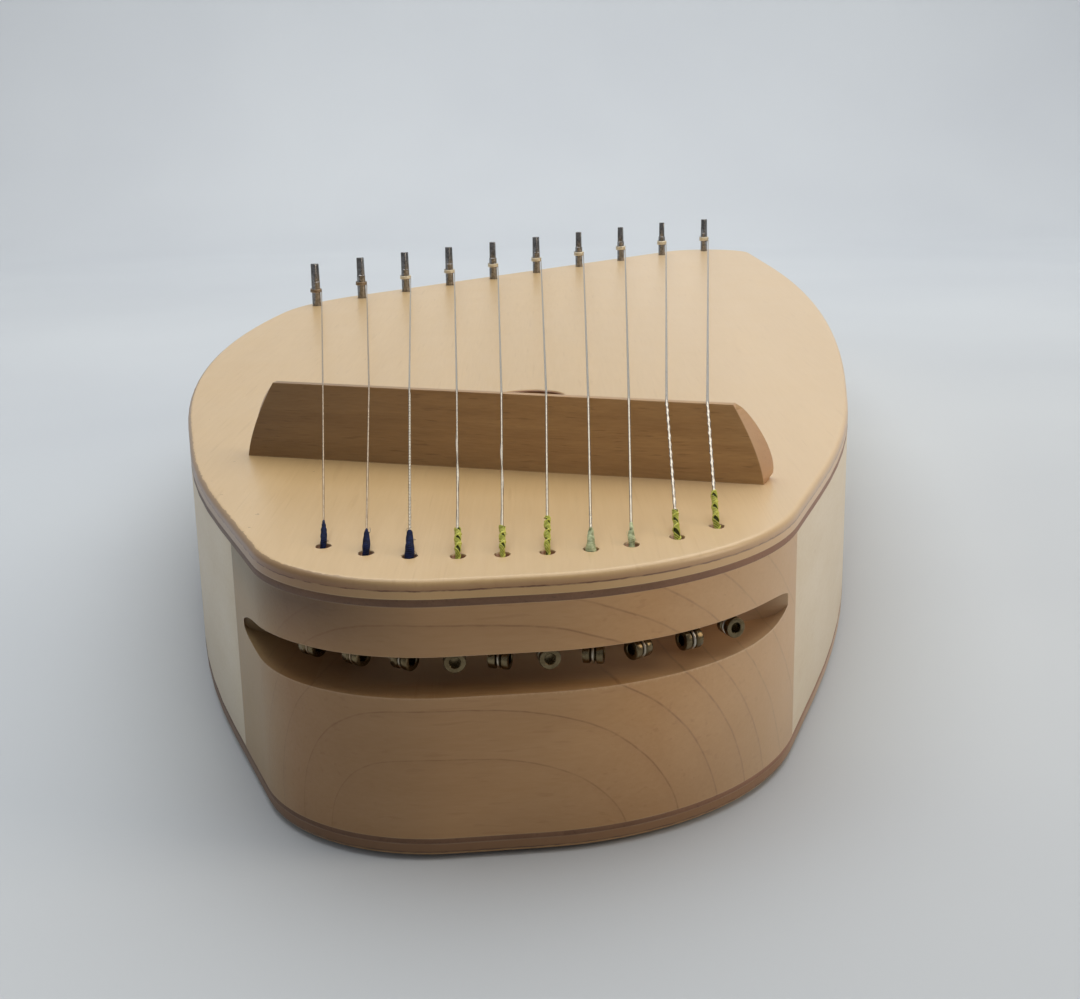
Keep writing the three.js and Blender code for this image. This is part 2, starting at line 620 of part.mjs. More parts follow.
// A zither pin: round below, with a square tapered head for the tuning key.
function tuningPin(line) {
  const head = TOP + PIN_RISE - PIN_HEAD_HEIGHT;
  const foot = TOP - PIN_SEAT_DEPTH;
  const profile = [
    new THREE.Vector2(0, foot),
    new THREE.Vector2(PIN_RADIUS - PIN_TIP_CHAMFER, foot),
    new THREE.Vector2(PIN_RADIUS, foot + PIN_TIP_CHAMFER),
    new THREE.Vector2(PIN_RADIUS, head),
    new THREE.Vector2(0, head),
  ];
  const shank = new THREE.LatheGeometry(profile, PIN_SIDES).rotateX(Math.PI / 2);
  const square = new THREE.CylinderGeometry(
    PIN_RADIUS * PIN_HEAD_TOP_SHARE, PIN_RADIUS, PIN_HEAD_HEIGHT, 4, 1);
  square.rotateX(Math.PI / 2).translate(0, 0, head + PIN_HEAD_HEIGHT / 2);
  const pin = solidOf(shank).add(solidOf(square));
  return geometryOf(pin).translate(line.pin.x, line.pin.y, 0);
}

function stringCoil(line) {
  const start = line.pin.clone().setZ(TOP + COIL_RISE);
  const helix = new HelixPath(start, line.coilRadius, line.sideAngle,
    line.radius * 2 * COIL_PITCH_SHARE, COIL_TURNS);
  return tube(helix, COIL_TURNS * COIL_TURN_STEPS,
    new THREE.Shape(ringPoints(line.radius, COIL_WIRE_SIDES)));
}

// A spool with a grooved waist, the string's loop in the groove, and the string itself
function stringWithBall(line) {
  const halfLength = BALL_LENGTH / 2;
  const groove = halfLength - BALL_FLANGE;
  const slope = BALL_RADIUS - BALL_WAIST;
  const profile = [
    new THREE.Vector2(BALL_BORE, -halfLength),
    new THREE.Vector2(BALL_RADIUS, -halfLength),
    new THREE.Vector2(BALL_RADIUS, -groove),
    new THREE.Vector2(BALL_WAIST, slope / 2 - groove),
    new THREE.Vector2(BALL_WAIST, groove - slope / 2),
    new THREE.Vector2(BALL_RADIUS, groove),
    new THREE.Vector2(BALL_RADIUS, halfLength),
    new THREE.Vector2(BALL_BORE, halfLength),
    new THREE.Vector2(BALL_BORE, -halfLength),
  ];
  const spool = new THREE.LatheGeometry(profile, BALL_SIDES);
  const loop = new THREE.TorusGeometry(BALL_WAIST, line.radius,
    STRING_SIDES, BALL_SIDES).rotateX(Math.PI / 2);
  const turn = THREE.MathUtils.degToRad(pick(BALL_TURNS_DEG, line.i));
  const place = (geometry) => solidOf(geometry.rotateZ(turn)
    .translate(line.ball.x, line.ball.y, line.ball.z));
  const run = solidOf(wire([line.root, line.bend, line.crossing, line.end], line.radius));
  return place(spool).add(place(loop)).add(run);
}

function silkWrap(line) {
  const section = new THREE.Shape(ringPoints(WRAP_RADIUS, WRAP_SIDES));
  section.holes.push(new THREE.Path(ringPoints(WRAP_BORE, WRAP_SIDES).reverse()));
  const share = pick(WRAP_LENGTH_SHARES, line.i);
  const tip = line.bend.clone().addScaledVector(
    line.crossing.clone().sub(line.bend).normalize(), LONGEST_WRAP * share);
  const start = line.root.clone().addScaledVector(line.channel, WRAP_BALL_GAP);
  return tube(new TautPath([start, line.bend, tip]), 2, section);
}

// The pieces
addMesh("soundboard", geometryOf(soundboard()), "birchPly");
addMesh("upper_binding", geometryOf(hoop(0, RIB_THICKNESS, RIB_TOP, BOARD_UNDERSIDE)), "binding");
const [leftRib, rightRib] = sideRibs();
addMesh("side_rib_left", geometryOf(leftRib), "birchRib");
addMesh("side_rib_right", geometryOf(rightRib), "birchRib");
addMesh("tail_block", geometryOf(tailBlock()), "maple");
addMesh("pin_block", geometryOf(pinBlock()), "maple");
addMesh("lower_binding", geometryOf(hoop(0, RIB_THICKNESS, BACK_THICKNESS, RIB_FOOT)), "binding");
addMesh("back_plate", loft(roundedRings(0, BACK_THICKNESS, BACK_ROUND, false)), "birchPly");

const [leftLining, rightLining] = upperLinings();
addMesh("upper_lining_left", geometryOf(leftLining), "spruce");
addMesh("upper_lining_right", geometryOf(rightLining), "spruce");
addMesh("lower_lining", geometryOf(lowerLining()), "spruce");
SOUNDBOARD_BRACE_SETBACKS.forEach((setback, i) =>
  addMesh(`soundboard_brace_${i + 1}`, geometryOf(braceBar(setback, BOARD_UNDERSIDE, -1)), "spruce"));
BACK_BRACE_SETBACKS.forEach((setback, i) =>
  addMesh(`back_brace_${i + 1}`, geometryOf(braceBar(setback, BACK_THICKNESS, 1)), "spruce"));

const bridgeMesh = addMesh("bridge", bridge(), "walnut");
bridgeMesh.position.set(BRIDGE_PLACE.x, BRIDGE_PLACE.y, TOP);
bridgeMesh.rotation.z = BRIDGE_TURN;

LINES.forEach((line) => {
  const number = line.i + 1;
  addMesh(`tuning_pin_${number}`, tuningPin(line), "pinSteel");
  addMesh(`string_coil_${number}`, stringCoil(line), "steel");
  addMesh(`string_${number}`, geometryOf(stringWithBall(line)), "steel");
  addMesh(`silk_wrap_${number}`, silkWrap(line), WRAP_MATERIALS[line.i % WRAP_MATERIALS.length]);
});

export default kantele;
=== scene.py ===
"""Looks of a ten-string kantele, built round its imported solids, in metres with +Z up.

+Y runs from the tail, where the strings are hooked in, to the slanted edge with the tuning pins.
"""

import logging
import math
import random
from collections.abc import Callable, Iterable, Sequence
from dataclasses import dataclass, field
from enum import Enum
from functools import cached_property, partialmethod

import bmesh
import bpy
from bmesh.types import BMEdge, BMesh, BMFace, BMVert
from bpy.types import Material, Node, NodeSocket, Object
from mathutils import Matrix, Quaternion, Vector, noise


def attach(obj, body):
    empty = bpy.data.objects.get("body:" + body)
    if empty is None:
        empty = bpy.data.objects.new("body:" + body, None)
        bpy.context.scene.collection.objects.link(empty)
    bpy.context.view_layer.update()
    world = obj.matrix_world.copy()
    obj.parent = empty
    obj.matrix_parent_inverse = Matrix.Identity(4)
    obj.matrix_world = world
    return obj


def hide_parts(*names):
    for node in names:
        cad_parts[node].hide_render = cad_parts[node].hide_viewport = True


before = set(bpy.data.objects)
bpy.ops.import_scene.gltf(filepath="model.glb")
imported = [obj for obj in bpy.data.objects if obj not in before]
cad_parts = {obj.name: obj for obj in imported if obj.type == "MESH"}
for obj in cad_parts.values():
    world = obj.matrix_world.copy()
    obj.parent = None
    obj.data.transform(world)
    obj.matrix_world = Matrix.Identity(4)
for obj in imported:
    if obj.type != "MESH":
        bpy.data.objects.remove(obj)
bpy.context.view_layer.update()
log = logging.getLogger("kantele")

UP = Vector((0.0, 0.0, 1.0))
FULL_TURN = 2 * math.pi
SAME_PLACE = 1e-6
BOX_BODY = "box"
OVERRUN = 0.004  # how far a cutting shape reaches past what it cuts
SMOOTH_ANGLE = math.radians(32)  # edges sharper than this stay sharp
ROUND_ANGLE = math.radians(60)  # the same for wires and threads, whose sections have few sides
BODY_WIDTH, BODY_LENGTH = 0.305, 0.805
TAIL = -BODY_LENGTH / 2  # the tail's end of the body, along Y

Pair = tuple[float, float]
Triple = tuple[float, float, float]
Fade = Triple  # where a change starts, where it stops, and its share there
Colour = tuple[float, float, float, float]


# Small helpers for meshes


def mix(a: float, b: float, share: float) -> float:
    """The value a share of the way from a to b."""
    return a + (b - a) * share


def heading_of(angle: float) -> Vector:
    """The level direction at an angle from +X."""
    return Vector((math.cos(angle), math.sin(angle), 0))


def left_of(way: Vector) -> Vector:
    """The level direction to the left of another."""
    return Vector((-way.y, way.x, 0))


def edges_of(geometry: Iterable[object]) -> list[BMEdge]:
    """The edges among the parts that an operator gives back."""
    return [part for part in geometry if isinstance(part, BMEdge)]


def verts_of(geometry: Iterable[object]) -> list[BMVert]:
    """The vertices among the parts that an operator gives back."""
    return [part for part in geometry if isinstance(part, BMVert)]


def faces_of(geometry: Iterable[object]) -> list[BMFace]:
    """The faces among the parts that an operator gives back."""
    return [part for part in geometry if isinstance(part, BMFace)]


def raise_faces(bm: BMesh, faces: Sequence[BMFace], move: Vector) -> list[BMFace]:
    """Extrudes faces and moves the new ones.

    Args:
        bm: the mesh.
        faces: the faces to extrude.
        move: how far the new faces go.

    Returns:
        The new faces.
    """
    region = set(faces)
    joined = any(other not in region for face in region for edge in face.edges
                 for other in edge.link_faces)
    lifted = bmesh.ops.extrude_face_region(bm, geom=list(faces))["geom"]
    bmesh.ops.translate(bm, verts=verts_of(lifted), vec=move)
    if joined:  # otherwise the first faces close the far end
        bmesh.ops.delete(bm, geom=list(region), context="FACES_ONLY")
    return faces_of(lifted)


def soften(bm: BMesh, edges: Iterable[BMEdge], width: float, segments: int) -> None:
    """Rounds edges.

    Args:
        bm: the mesh.
        edges: the edges to round.
        width: how far the rounding reaches from each edge.
        segments: its number of steps.
    """
    bmesh.ops.bevel(
        bm, geom=list(edges), offset=width, offset_type="OFFSET", segments=segments,
        profile=0.5, affect="EDGES", material=-1, clamp_overlap=True)


def rim_edges(bm: BMesh, level: float, rising: float) -> list[BMEdge]:
    """The sharp edges round the flat faces at a level.

    Args:
        bm: the mesh.
        level: the height of the flat faces.
        rising: 1 for faces that look up, -1 for faces that look down.

    Returns:
        The edges between these faces and the others.
    """
    bm.normal_update()

    def flat(face: BMFace) -> bool:
        return (face.normal.z * rising > 0.99
                and abs(face.calc_center_median().z - level) < SAME_PLACE * 10)

    return [edge for edge in bm.edges
            if len(edge.link_faces) == 2 and sum(flat(face) for face in edge.link_faces) == 1]


def close_shape(bm: BMesh) -> None:
    """Merges doubles and turns every face outwards."""
    bmesh.ops.remove_doubles(bm, verts=bm.verts[:], dist=SAME_PLACE)
    bmesh.ops.recalc_face_normals(bm, faces=bm.faces[:])


def keep_behind(bm: BMesh, point: Vector, normal: Vector) -> None:
    """Cuts off what lies in front of a plane and closes the cut.

    Args:
        bm: the mesh.
        point: a point on the plane.
        normal: the side that goes.
    """
    cut = bmesh.ops.bisect_plane(
        bm, geom=bm.verts[:] + bm.edges[:] + bm.faces[:],
        plane_co=point, plane_no=normal, clear_outer=True)
    bmesh.ops.holes_fill(bm, edges=edges_of(cut["geom_cut"]), sides=0)
    bmesh.ops.recalc_face_normals(bm, faces=bm.faces[:])


def bowed_line(start: Vector, end: Vector, cuts: int, move: Callable[[Vector], Vector]) -> BMesh:
    """Draws a line, splits it and moves its vertices by a rule.

    Args:
        start: where the line starts.
        end: where it ends.
        cuts: how many vertices are added between.
        move: gives a place for each place.

    Returns:
        A mesh of just the line.
    """
    bm = bmesh.new()
    edge = bm.edges.new((bm.verts.new(start), bm.verts.new(end)))
    bmesh.ops.subdivide_edges(bm, edges=[edge], cuts=cuts)
    reshape(bm, move)
    return bm


def fill_between(one: BMesh, other: BMesh) -> BMesh:
    """Joins two drawn lines end to end, the shorter way, and fills the loop."""
    ends = [[vert.co.copy() for vert in line.verts if len(vert.link_edges) == 1]
            for line in (one, other)]
    (a, b), (c, d) = ends
    pairs = [(a, c), (b, d)]
    if (a - c).length + (b - d).length > (a - d).length + (b - c).length:
        pairs = [(a, d), (b, c)]
    bm = join_meshes([one, other])
    for pair in pairs:
        bm.edges.new([min(bm.verts, key=lambda vert: (vert.co - end).length) for end in pair])
    bmesh.ops.contextual_create(bm, geom=bm.edges[:])
    return bm


def turned_shape(profile: Sequence[Pair], steps: int) -> BMesh:
    """A shape turned about the Z axis, as on a lathe.

    Args:
        profile: radius and height of each corner, from one pole or rim to the other.
        steps: the number of sides.

    Returns:
        The closed mesh. A profile that leaves the axis out is joined end to end.
    """
    bm = bmesh.new()
    verts = [bm.verts.new((radius, 0.0, height)) for radius, height in profile]
    edges = [bm.edges.new(pair) for pair in zip(verts, verts[1:])]
    if profile[0][0] > 0:
        edges.append(bm.edges.new((verts[-1], verts[0])))
    bmesh.ops.spin(
        bm, geom=verts + edges, cent=(0, 0, 0), axis=UP, angle=FULL_TURN, steps=steps,
        use_merge=True)
    close_shape(bm)
    return bm


def wound_strand(
        thickness: float, radius: float, pitch: float, turns: float, steps: int,
        sides: int) -> BMesh:
    """A strand wound about the Z axis, upwards from z = 0 and starting on +X.

    Args:
        thickness: the strand's radius.
        radius: from the axis to the strand's middle.
        pitch: the rise of one turn.
        turns: how many turns.
        steps: steps in each turn.
        sides: sides of the strand's section.

    Returns:
        The closed mesh.
    """
    coils = max(1, math.ceil(turns))
    angle, rise = turns * FULL_TURN / coils, turns * pitch / coils
    count = math.ceil(steps * turns / coils)
    one = bmesh.new()
    slope = math.atan2(pitch, FULL_TURN * radius)
    ring = bmesh.ops.create_circle(one, radius=thickness, segments=sides)
    upright = Matrix.Rotation(math.pi / 2 + slope, 4, "X")
    bmesh.ops.transform(one, matrix=Matrix.Translation((radius, 0, 0)) @ upright, verts=ring["verts"])
    bmesh.ops.spin(
        one, geom=one.verts[:] + one.edges[:], cent=(0, 0, 0), axis=UP,
        dvec=(0, 0, rise / count), angle=angle, steps=count)
    parts = []
    for number in range(coils):
        part = one.copy()
        put(part, Matrix.Translation(UP * (rise * number)) @ Matrix.Rotation(angle * number, 4, "Z"))
        parts.append(part)
    one.free()
    bm = join_meshes(parts)
    bmesh.ops.remove_doubles(bm, verts=bm.verts[:], dist=SAME_PLACE)
    bmesh.ops.holes_fill(bm, edges=[edge for edge in bm.edges if edge.is_boundary], sides=0)
    close_shape(bm)
    return bm


def put(bm: BMesh, place: Matrix | Vector) -> None:
    """Moves a whole mesh by a matrix or a step."""
    matrix = place if isinstance(place, Matrix) else Matrix.Translation(place)
    bmesh.ops.transform(bm, matrix=matrix, verts=bm.verts[:])


def mirrored(bm: BMesh, place: Matrix) -> BMesh:
    """A wound strand turned the other way round and then placed."""
    put(bm, place @ Matrix.Diagonal((-1, 1, 1, 1)))
    bmesh.ops.reverse_faces(bm, faces=bm.faces[:])
    return bm


def reshape(bm: BMesh, move: Callable[[Vector], Vector]) -> None:
    """Moves every vertex by a rule.

    Args:
        bm: the mesh.
        move: gives a place for each place.
    """
    for vert in bm.verts:
        vert.co = move(vert.co)


def join_meshes(parts: Sequence[BMesh]) -> BMesh:
    """One mesh that holds all parts, which are freed."""
    whole = bmesh.new()
    for part in parts:
        store = bpy.data.meshes.new("part")
        part.to_mesh(store)
        part.free()
        whole.from_mesh(store)
        bpy.data.meshes.remove(store)
    return whole


def object_from(name: str, bm: BMesh) -> Object:
    """An object in the scene that holds a mesh, which is freed."""
    mesh = bpy.data.meshes.new(name)
    bm.to_mesh(mesh)
    bm.free()
    piece = bpy.data.objects.new(name, mesh)
    bpy.context.scene.collection.objects.link(piece)
    return piece


def carve(piece: Object, shapes: Sequence[BMesh], operation: str = "DIFFERENCE") -> None:
    """Joins shapes to a piece or cuts them from it, and keeps the result as its mesh.

    Args:
        piece: the piece to change.
        shapes: closed meshes, which are freed.
        operation: DIFFERENCE, UNION or INTERSECT.
    """
    for shape in shapes:
        tool = object_from("tool", shape)
        cut = piece.modifiers.new("cut", "BOOLEAN")
        cut.operation = operation
        cut.solver = "EXACT"
        cut.object = tool
        bpy.context.view_layer.update()
        evaluated = piece.evaluated_get(bpy.context.evaluated_depsgraph_get())
        carved = bpy.data.meshes.new_from_object(evaluated)
        piece.modifiers.clear()
        old, piece.data = piece.data, carved
        bpy.data.meshes.remove(old)
        bpy.data.objects.remove(tool)


def smooth_over(piece: Object, angle: float = SMOOTH_ANGLE) -> None:
    """Shades a piece smooth, apart from edges sharper than an angle."""
    mesh = piece.data
    mesh.polygons.foreach_set("use_smooth", [True] * len(mesh.polygons))
    mesh.set_sharp_from_angle(angle=angle)


def open_edges(piece: Object) -> int:
    """How many of a piece's edges don't lie between two faces."""
    bm = bmesh.new()
    bm.from_mesh(piece.data)
    count = sum(1 for edge in bm.edges if len(edge.link_faces) != 2)
    bm.free()
    return count


def finish_piece(
        piece: Object, finish: Material, body: str, nodes: Sequence[str],
        angle: float = SMOOTH_ANGLE) -> Object:
    """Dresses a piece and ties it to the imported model.

    Args:
        piece: the piece.
        finish: its material.
        body: the body it rides on.
        nodes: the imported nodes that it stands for.
        angle: edges sharper than this stay sharp.

    Returns:
        The piece.
    """
    smooth_over(piece, angle)
    piece.data.materials.clear()
    piece.data.materials.append(finish)
    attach(piece, body)
    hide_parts(*nodes)
    log.info("%s: %d faces, %d open edges, rides on %s",
             piece.name, len(piece.data.polygons), open_edges(piece), body)
    return piece


class Route:
    """A centre line through a few points with its bends rounded, to lay straight shapes along."""

    def __init__(self, points: Sequence[Vector], bend: float, steps: int = 8) -> None:
        """Rounds the bends and works out a frame at each place.

        Args:
            points: the corners of the line.
            bend: the radius of its bends.
            steps: steps in each bend.
        """
        self.places = self._rounded(points, bend, steps)
        self.distances = [0.0]
        for a, b in zip(self.places, self.places[1:]):
            self.distances.append(self.distances[-1] + (b - a).length)
        tangents = [(b - a).normalized() for a, b in zip(self.places, self.places[1:])]
        self.tangents = [tangents[0]]
        for a, b in zip(tangents, tangents[1:]):
            self.tangents.append((a + b).normalized())
        self.tangents.append(tangents[-1])
        side = self.tangents[0].orthogonal().normalized()
        self.sides = [side]
        for a, b in zip(self.tangents, self.tangents[1:]):
            side = a.rotation_difference(b) @ side
            self.sides.append((side - b * side.dot(b)).normalized())

    @staticmethod
    def _rounded(points: Sequence[Vector], bend: float, steps: int) -> list[Vector]:
        """The line with an arc at each corner."""
        places = [points[0].copy()]
        for before, corner, after in zip(points, points[1:], points[2:]):
            back = (before - corner).normalized()
            ahead = (after - corner).normalized()
            half = back.angle(ahead) / 2
            reach = min(bend / math.tan(half), (before - corner).length / 2,
                        (after - corner).length / 2)
            start, end = corner + back * reach, corner + ahead * reach
            for step in range(steps + 1):
                share = step / steps
                places.append(start.lerp(corner, share).lerp(corner.lerp(end, share), share))
        places.append(points[-1].copy())
        return places

    @property
    def length(self) -> float:
        """The line's length."""
        return self.distances[-1]

    def place(self, spot: Vector) -> Vector:
        """Where a spot beside the Z axis goes when the axis is laid along the line."""
        last = len(self.distances) - 2
        i = next((n for n, reach in enumerate(self.distances[1:]) if reach >= spot.z), last)
        i = min(i, last)
        span = self.distances[i + 1] - self.distances[i]
        share = (spot.z - self.distances[i]) / span
        side = self.sides[i].lerp(self.sides[i + 1], min(max(share, 0), 1)).normalized()
        tangent = self.tangents[i].lerp(self.tangents[i + 1], min(max(share, 0), 1)).normalized()
        centre = self.places[i] + (self.places[i + 1] - self.places[i]) * share
        return centre + side * spot.x + tangent.cross(side) * spot.y

    def tube(self, radius: float, sides: int, low: float = 0.0, high: float | None = None) -> BMesh:
        """A round rod along the line.

        Args:
            radius: the rod's radius.
            sides: the number of its sides.
            low: where it starts along the line.
            high: where it ends, or the line's end.

        Returns:
            The closed mesh, in place.
        """
        high = self.length if high is None else high
        bm = bmesh.new()
        ring = bmesh.ops.create_circle(bm, cap_ends=True, radius=radius, segments=sides)
        bmesh.ops.translate(bm, verts=ring["verts"], vec=(0, 0, low))
        faces = bm.faces[:]
        stops = [reach for reach in self.distances if low < reach < high] + [high]
        for before, stop in zip([low, *stops], stops):
            faces = raise_faces(bm, faces, UP * (stop - before))
        close_shape(bm)
        reshape(bm, self.place)
        return bm


# Node trees


class Graph:
    """A node tree, with short ways to add nodes and join them."""

    def __init__(self, tree: bpy.types.NodeTree) -> None:
        """Starts with an empty tree."""
        self.tree = tree
        tree.nodes.clear()

    def feed(self, node: Node, inputs: dict[str | int, object]) -> None:
        """Joins sockets to a node's inputs, or sets the inputs' values.

        Args:
            node: the node.
            inputs: a value or a socket to join, for each input's name or number.
        """
        for key, value in inputs.items():
            if isinstance(value, NodeSocket):
                self.tree.links.new(value, node.inputs[key])
            else:
                node.inputs[key].default_value = value

    def add(self, kind: str, inputs: dict[str | int, object] | None = None, **settings: object) -> Node:
        """Adds a node.

        Args:
            kind: the node's type, without its leading ShaderNode.
            inputs: what feeds it.
            settings: the node's own properties.

        Returns:
            The node.
        """
        node = self.tree.nodes.new("ShaderNode" + kind)
        for name, value in settings.items():
            setattr(node, name, value)
        self.feed(node, inputs or {})
        return node

    def sum_up(self, operation: str, a: object, b: object = 0.0, c: object = 0.0) -> NodeSocket:
        """The result of a Math node."""
        return self.add("Math", {0: a, 1: b, 2: c}, operation=operation).outputs[0]

    # one call for each kind of sum
    plus = partialmethod(sum_up, "ADD")
    minus = partialmethod(sum_up, "SUBTRACT")
    times = partialmethod(sum_up, "MULTIPLY")
    times_plus = partialmethod(sum_up, "MULTIPLY_ADD")
    over = partialmethod(sum_up, "DIVIDE")
    power = partialmethod(sum_up, "POWER")
    most = partialmethod(sum_up, "MAXIMUM")
    size = partialmethod(sum_up, "ABSOLUTE")
    below = partialmethod(sum_up, "LESS_THAN")
    above = partialmethod(sum_up, "GREATER_THAN")

    def clamp(self, value: object) -> NodeSocket:
        """A value kept between 0 and 1."""
        return self.add("Clamp", {"Value": value}).outputs[0]

    def band(self, value: object, low: float, high: float, to_low: float = 0.0,
             to_high: float = 1.0) -> NodeSocket:
        """A value mapped from one range to another, and kept inside it."""
        return self.add("MapRange", {
            "Value": value, "From Min": low, "From Max": high, "To Min": to_low,
            "To Max": to_high}, clamp=True).outputs["Result"]

    def fade(self, value: object, reach: Fade) -> NodeSocket:
        """0 where a fade starts, growing to its share where it stops."""
        start, stop, share = reach
        return self.band(value, start, stop, 0.0, share)

    def blend(self, share: object, a: object, b: object) -> NodeSocket:
        """A mix of two colours."""
        return self.add("Mix", {0: share, 6: a, 7: b}, data_type="RGBA").outputs[2]

    def scaled(self, vector: object, scale: object) -> NodeSocket:
        """A vector times a scale for each axis."""
        return self.add("VectorMath", {0: vector, 1: scale}, operation="MULTIPLY").outputs[0]

    def facing(self, a: object, b: object) -> NodeSocket:
        """How far two directions agree."""
        return self.add("VectorMath", {0: a, 1: b}, operation="DOT_PRODUCT").outputs["Value"]

    def noise(self, vector: object, scale: object, detail: float = 2.0,
              rough: float = 0.5) -> NodeSocket:
        """The value of a Noise Texture."""
        return self.add("TexNoise", {
            "Vector": vector, "Scale": scale, "Detail": detail, "Roughness": rough}).outputs[0]

    def place(self) -> NodeSocket:
        """Object coordinates, in metres."""
        return self.add("TexCoord").outputs["Object"]

    def axes(self, vector: object) -> Sequence[NodeSocket]:
        """A vector's three numbers."""
        return self.add("SeparateXYZ", {0: vector}).outputs

    def relief(self, height: object, depth: float) -> NodeSocket:
        """A normal from a height that is so many metres deep."""
        return self.add("Bump", {"Height": height, "Distance": depth, "Strength": 1.0}).outputs[0]


def new_group(name: str, inputs: dict[str, object],
              outputs: dict[str, str]) -> tuple[Graph, Node, Node]:
    """A node group with named sockets.

    Args:
        name: the group's name.
        inputs: a default for each input: a number, a vector of three or a colour of four.
        outputs: Color, Float or Vector for each output.

    Returns:
        The group's tree, its input node and its output node.
    """
    tree = bpy.data.node_groups.new(name, "ShaderNodeTree")
    graph = Graph(tree)
    kinds = {3: "NodeSocketVector", 4: "NodeSocketColor"}
    for title, value in inputs.items():
        kind = "NodeSocketFloat" if isinstance(value, float) else kinds[len(value)]
        socket = tree.interface.new_socket(title, in_out="INPUT", socket_type=kind)
        socket.default_value = value
    for title, kind in outputs.items():
        tree.interface.new_socket(title, in_out="OUTPUT", socket_type="NodeSocket" + kind)
    return graph, tree.nodes.new("NodeGroupInput"), tree.nodes.new("NodeGroupOutput")


class Effects:
    """The node groups that several finishes share, each built once."""

    @cached_property
    def grain(self) -> bpy.types.NodeTree:
        """Wood grain along Y: broad figure, fine fibres and short pores."""
        graph, source, result = new_group(
            "wood_grain",
            {"Place": (0.0, 0.0, 0.0), "Figure Width": 0.02, "Fibre Width": 0.0008,
             "Length": 14.0, "Waviness": 0.3, "Pore Share": 0.3},
            {"Figure": "Float", "Fibres": "Float", "Pores": "Float"})
        given = source.outputs
        stretch = graph.add("CombineXYZ", {
            0: 1.0, 1: graph.over(1.0, given["Length"]), 2: 1.0}).outputs[0]
        along = graph.scaled(given["Place"], stretch)
        sway = graph.times(graph.minus(graph.noise(along, 28.0, 2.0), 0.5), given["Waviness"])
        shift = graph.add("CombineXYZ", {0: graph.times(sway, 0.05), 1: 0.0, 2: 0.0})
        swayed = graph.add("VectorMath", {0: along, 1: shift.outputs[0]}, operation="ADD").outputs[0]
        fine = given["Fibre Width"]
        specks = graph.noise(swayed, graph.over(0.7, fine), 1.0, 0.4)
        graph.feed(result, {
            "Figure": graph.noise(swayed, graph.over(1.0, given["Figure Width"]), 3.0, 0.55),
            "Fibres": graph.noise(swayed, graph.over(1.0, fine), 2.0, 0.6),
            "Pores": graph.times(graph.band(specks, 0.66, 0.74), given["Pore Share"])})
        return graph.tree

    @cached_property
    def growth_line(self) -> bpy.types.NodeTree:
        """One growth line: a thin dark line at a distance, with a soft shade on its inner side."""
        graph, source, result = new_group(
            "growth_line", {"Distance": 0.0, "Level": 0.05, "Width": 0.0005, "Shade": 0.25},
            {"Mask": "Float"})
        given = source.outputs
        share = graph.over(graph.minus(given["Distance"], given["Level"]), given["Width"])
        line = graph.minus(1.0, graph.band(graph.size(share), 0.25, 1.0))
        inner = graph.times(graph.band(share, -9.0, 0.0), graph.below(share, 0.0))
        graph.feed(result, {"Mask": graph.most(line, graph.times(inner, given["Shade"]))})
        return graph.tree

    @cached_property
    def edge_wear_and_highlight(self) -> bpy.types.NodeTree:
        """A mask of the edges, broken up as by handling, for wear and a painted highlight."""
        graph, source, result = new_group(
            "edge_wear_and_highlight", {"Place": (0.0, 0.0, 0.0), "Radius": 0.0006, "Unevenness": 0.5},
            {"Mask": "Float"})
        given = source.outputs
        rounded = graph.add("Bevel", {"Radius": given["Radius"]}, samples=6).outputs[0]
        facing = graph.facing(rounded, graph.add("NewGeometry").outputs["Normal"])
        patches = graph.band(graph.noise(given["Place"], 160.0, 3.0), 0.35, 0.6)
        uneven = graph.times(given["Unevenness"], graph.minus(1.0, patches))
        edge = graph.band(facing, 0.995, 0.88)
        graph.feed(result, {"Mask": graph.clamp(graph.minus(edge, uneven))})
        return graph.tree

    @cached_property
    def handling(self) -> bpy.types.NodeTree:
        """Faint smears and specks of handling, as a change of gloss."""
        graph, source, result = new_group(
            "handling", {"Place": (0.0, 0.0, 0.0), "Base": 0.4, "Spread": 0.1}, {"Roughness": "Float"})
        given = source.outputs
        smears = graph.noise(given["Place"], 22.0, 4.0, 0.6)
        change = graph.times(graph.minus(smears, 0.5), given["Spread"])
        graph.feed(result, {"Roughness": graph.plus(given["Base"], change)})
        return graph.tree


EFFECTS = Effects()


def colour(red: int, green: int, blue: int) -> Colour:
    """A colour written as display values from 0 to 255."""
    def linear(value: int) -> float:
        share = value / 255
        return share / 12.92 if share <= 0.04045 else ((share + 0.055) / 1.055) ** 2.4
    return linear(red), linear(green), linear(blue), 1.0


class Direction(Enum):
    """Which way the grain runs, as a turn that brings it onto Y."""

    LENGTH = (0.0, 0.0, 0.0)
    WIDTH = (0.0, 0.0, math.pi / 2)
    HEIGHT = (math.pi / 2, 0.0, 0.0)


def start_material(name: str) -> tuple[Material, Graph, Node]:
    """A material with an empty tree but for its output and Principled BSDF.

    Args:
        name: the material's name.

    Returns:
        The material, its tree and its shader.
    """
    material = bpy.data.materials.new(name)
    material.use_nodes = True
    graph = Graph(material.node_tree)
    shader = graph.add("BsdfPrincipled")
    graph.add("OutputMaterial", {"Surface": shader.outputs[0]})
    return material, graph, shader


@dataclass(frozen=True)
class PaintedLight:
    """Painted light and shade along X: from where, to where, how far and to which tone."""

    start: float
    stop: float
    share: float
    tone: Colour


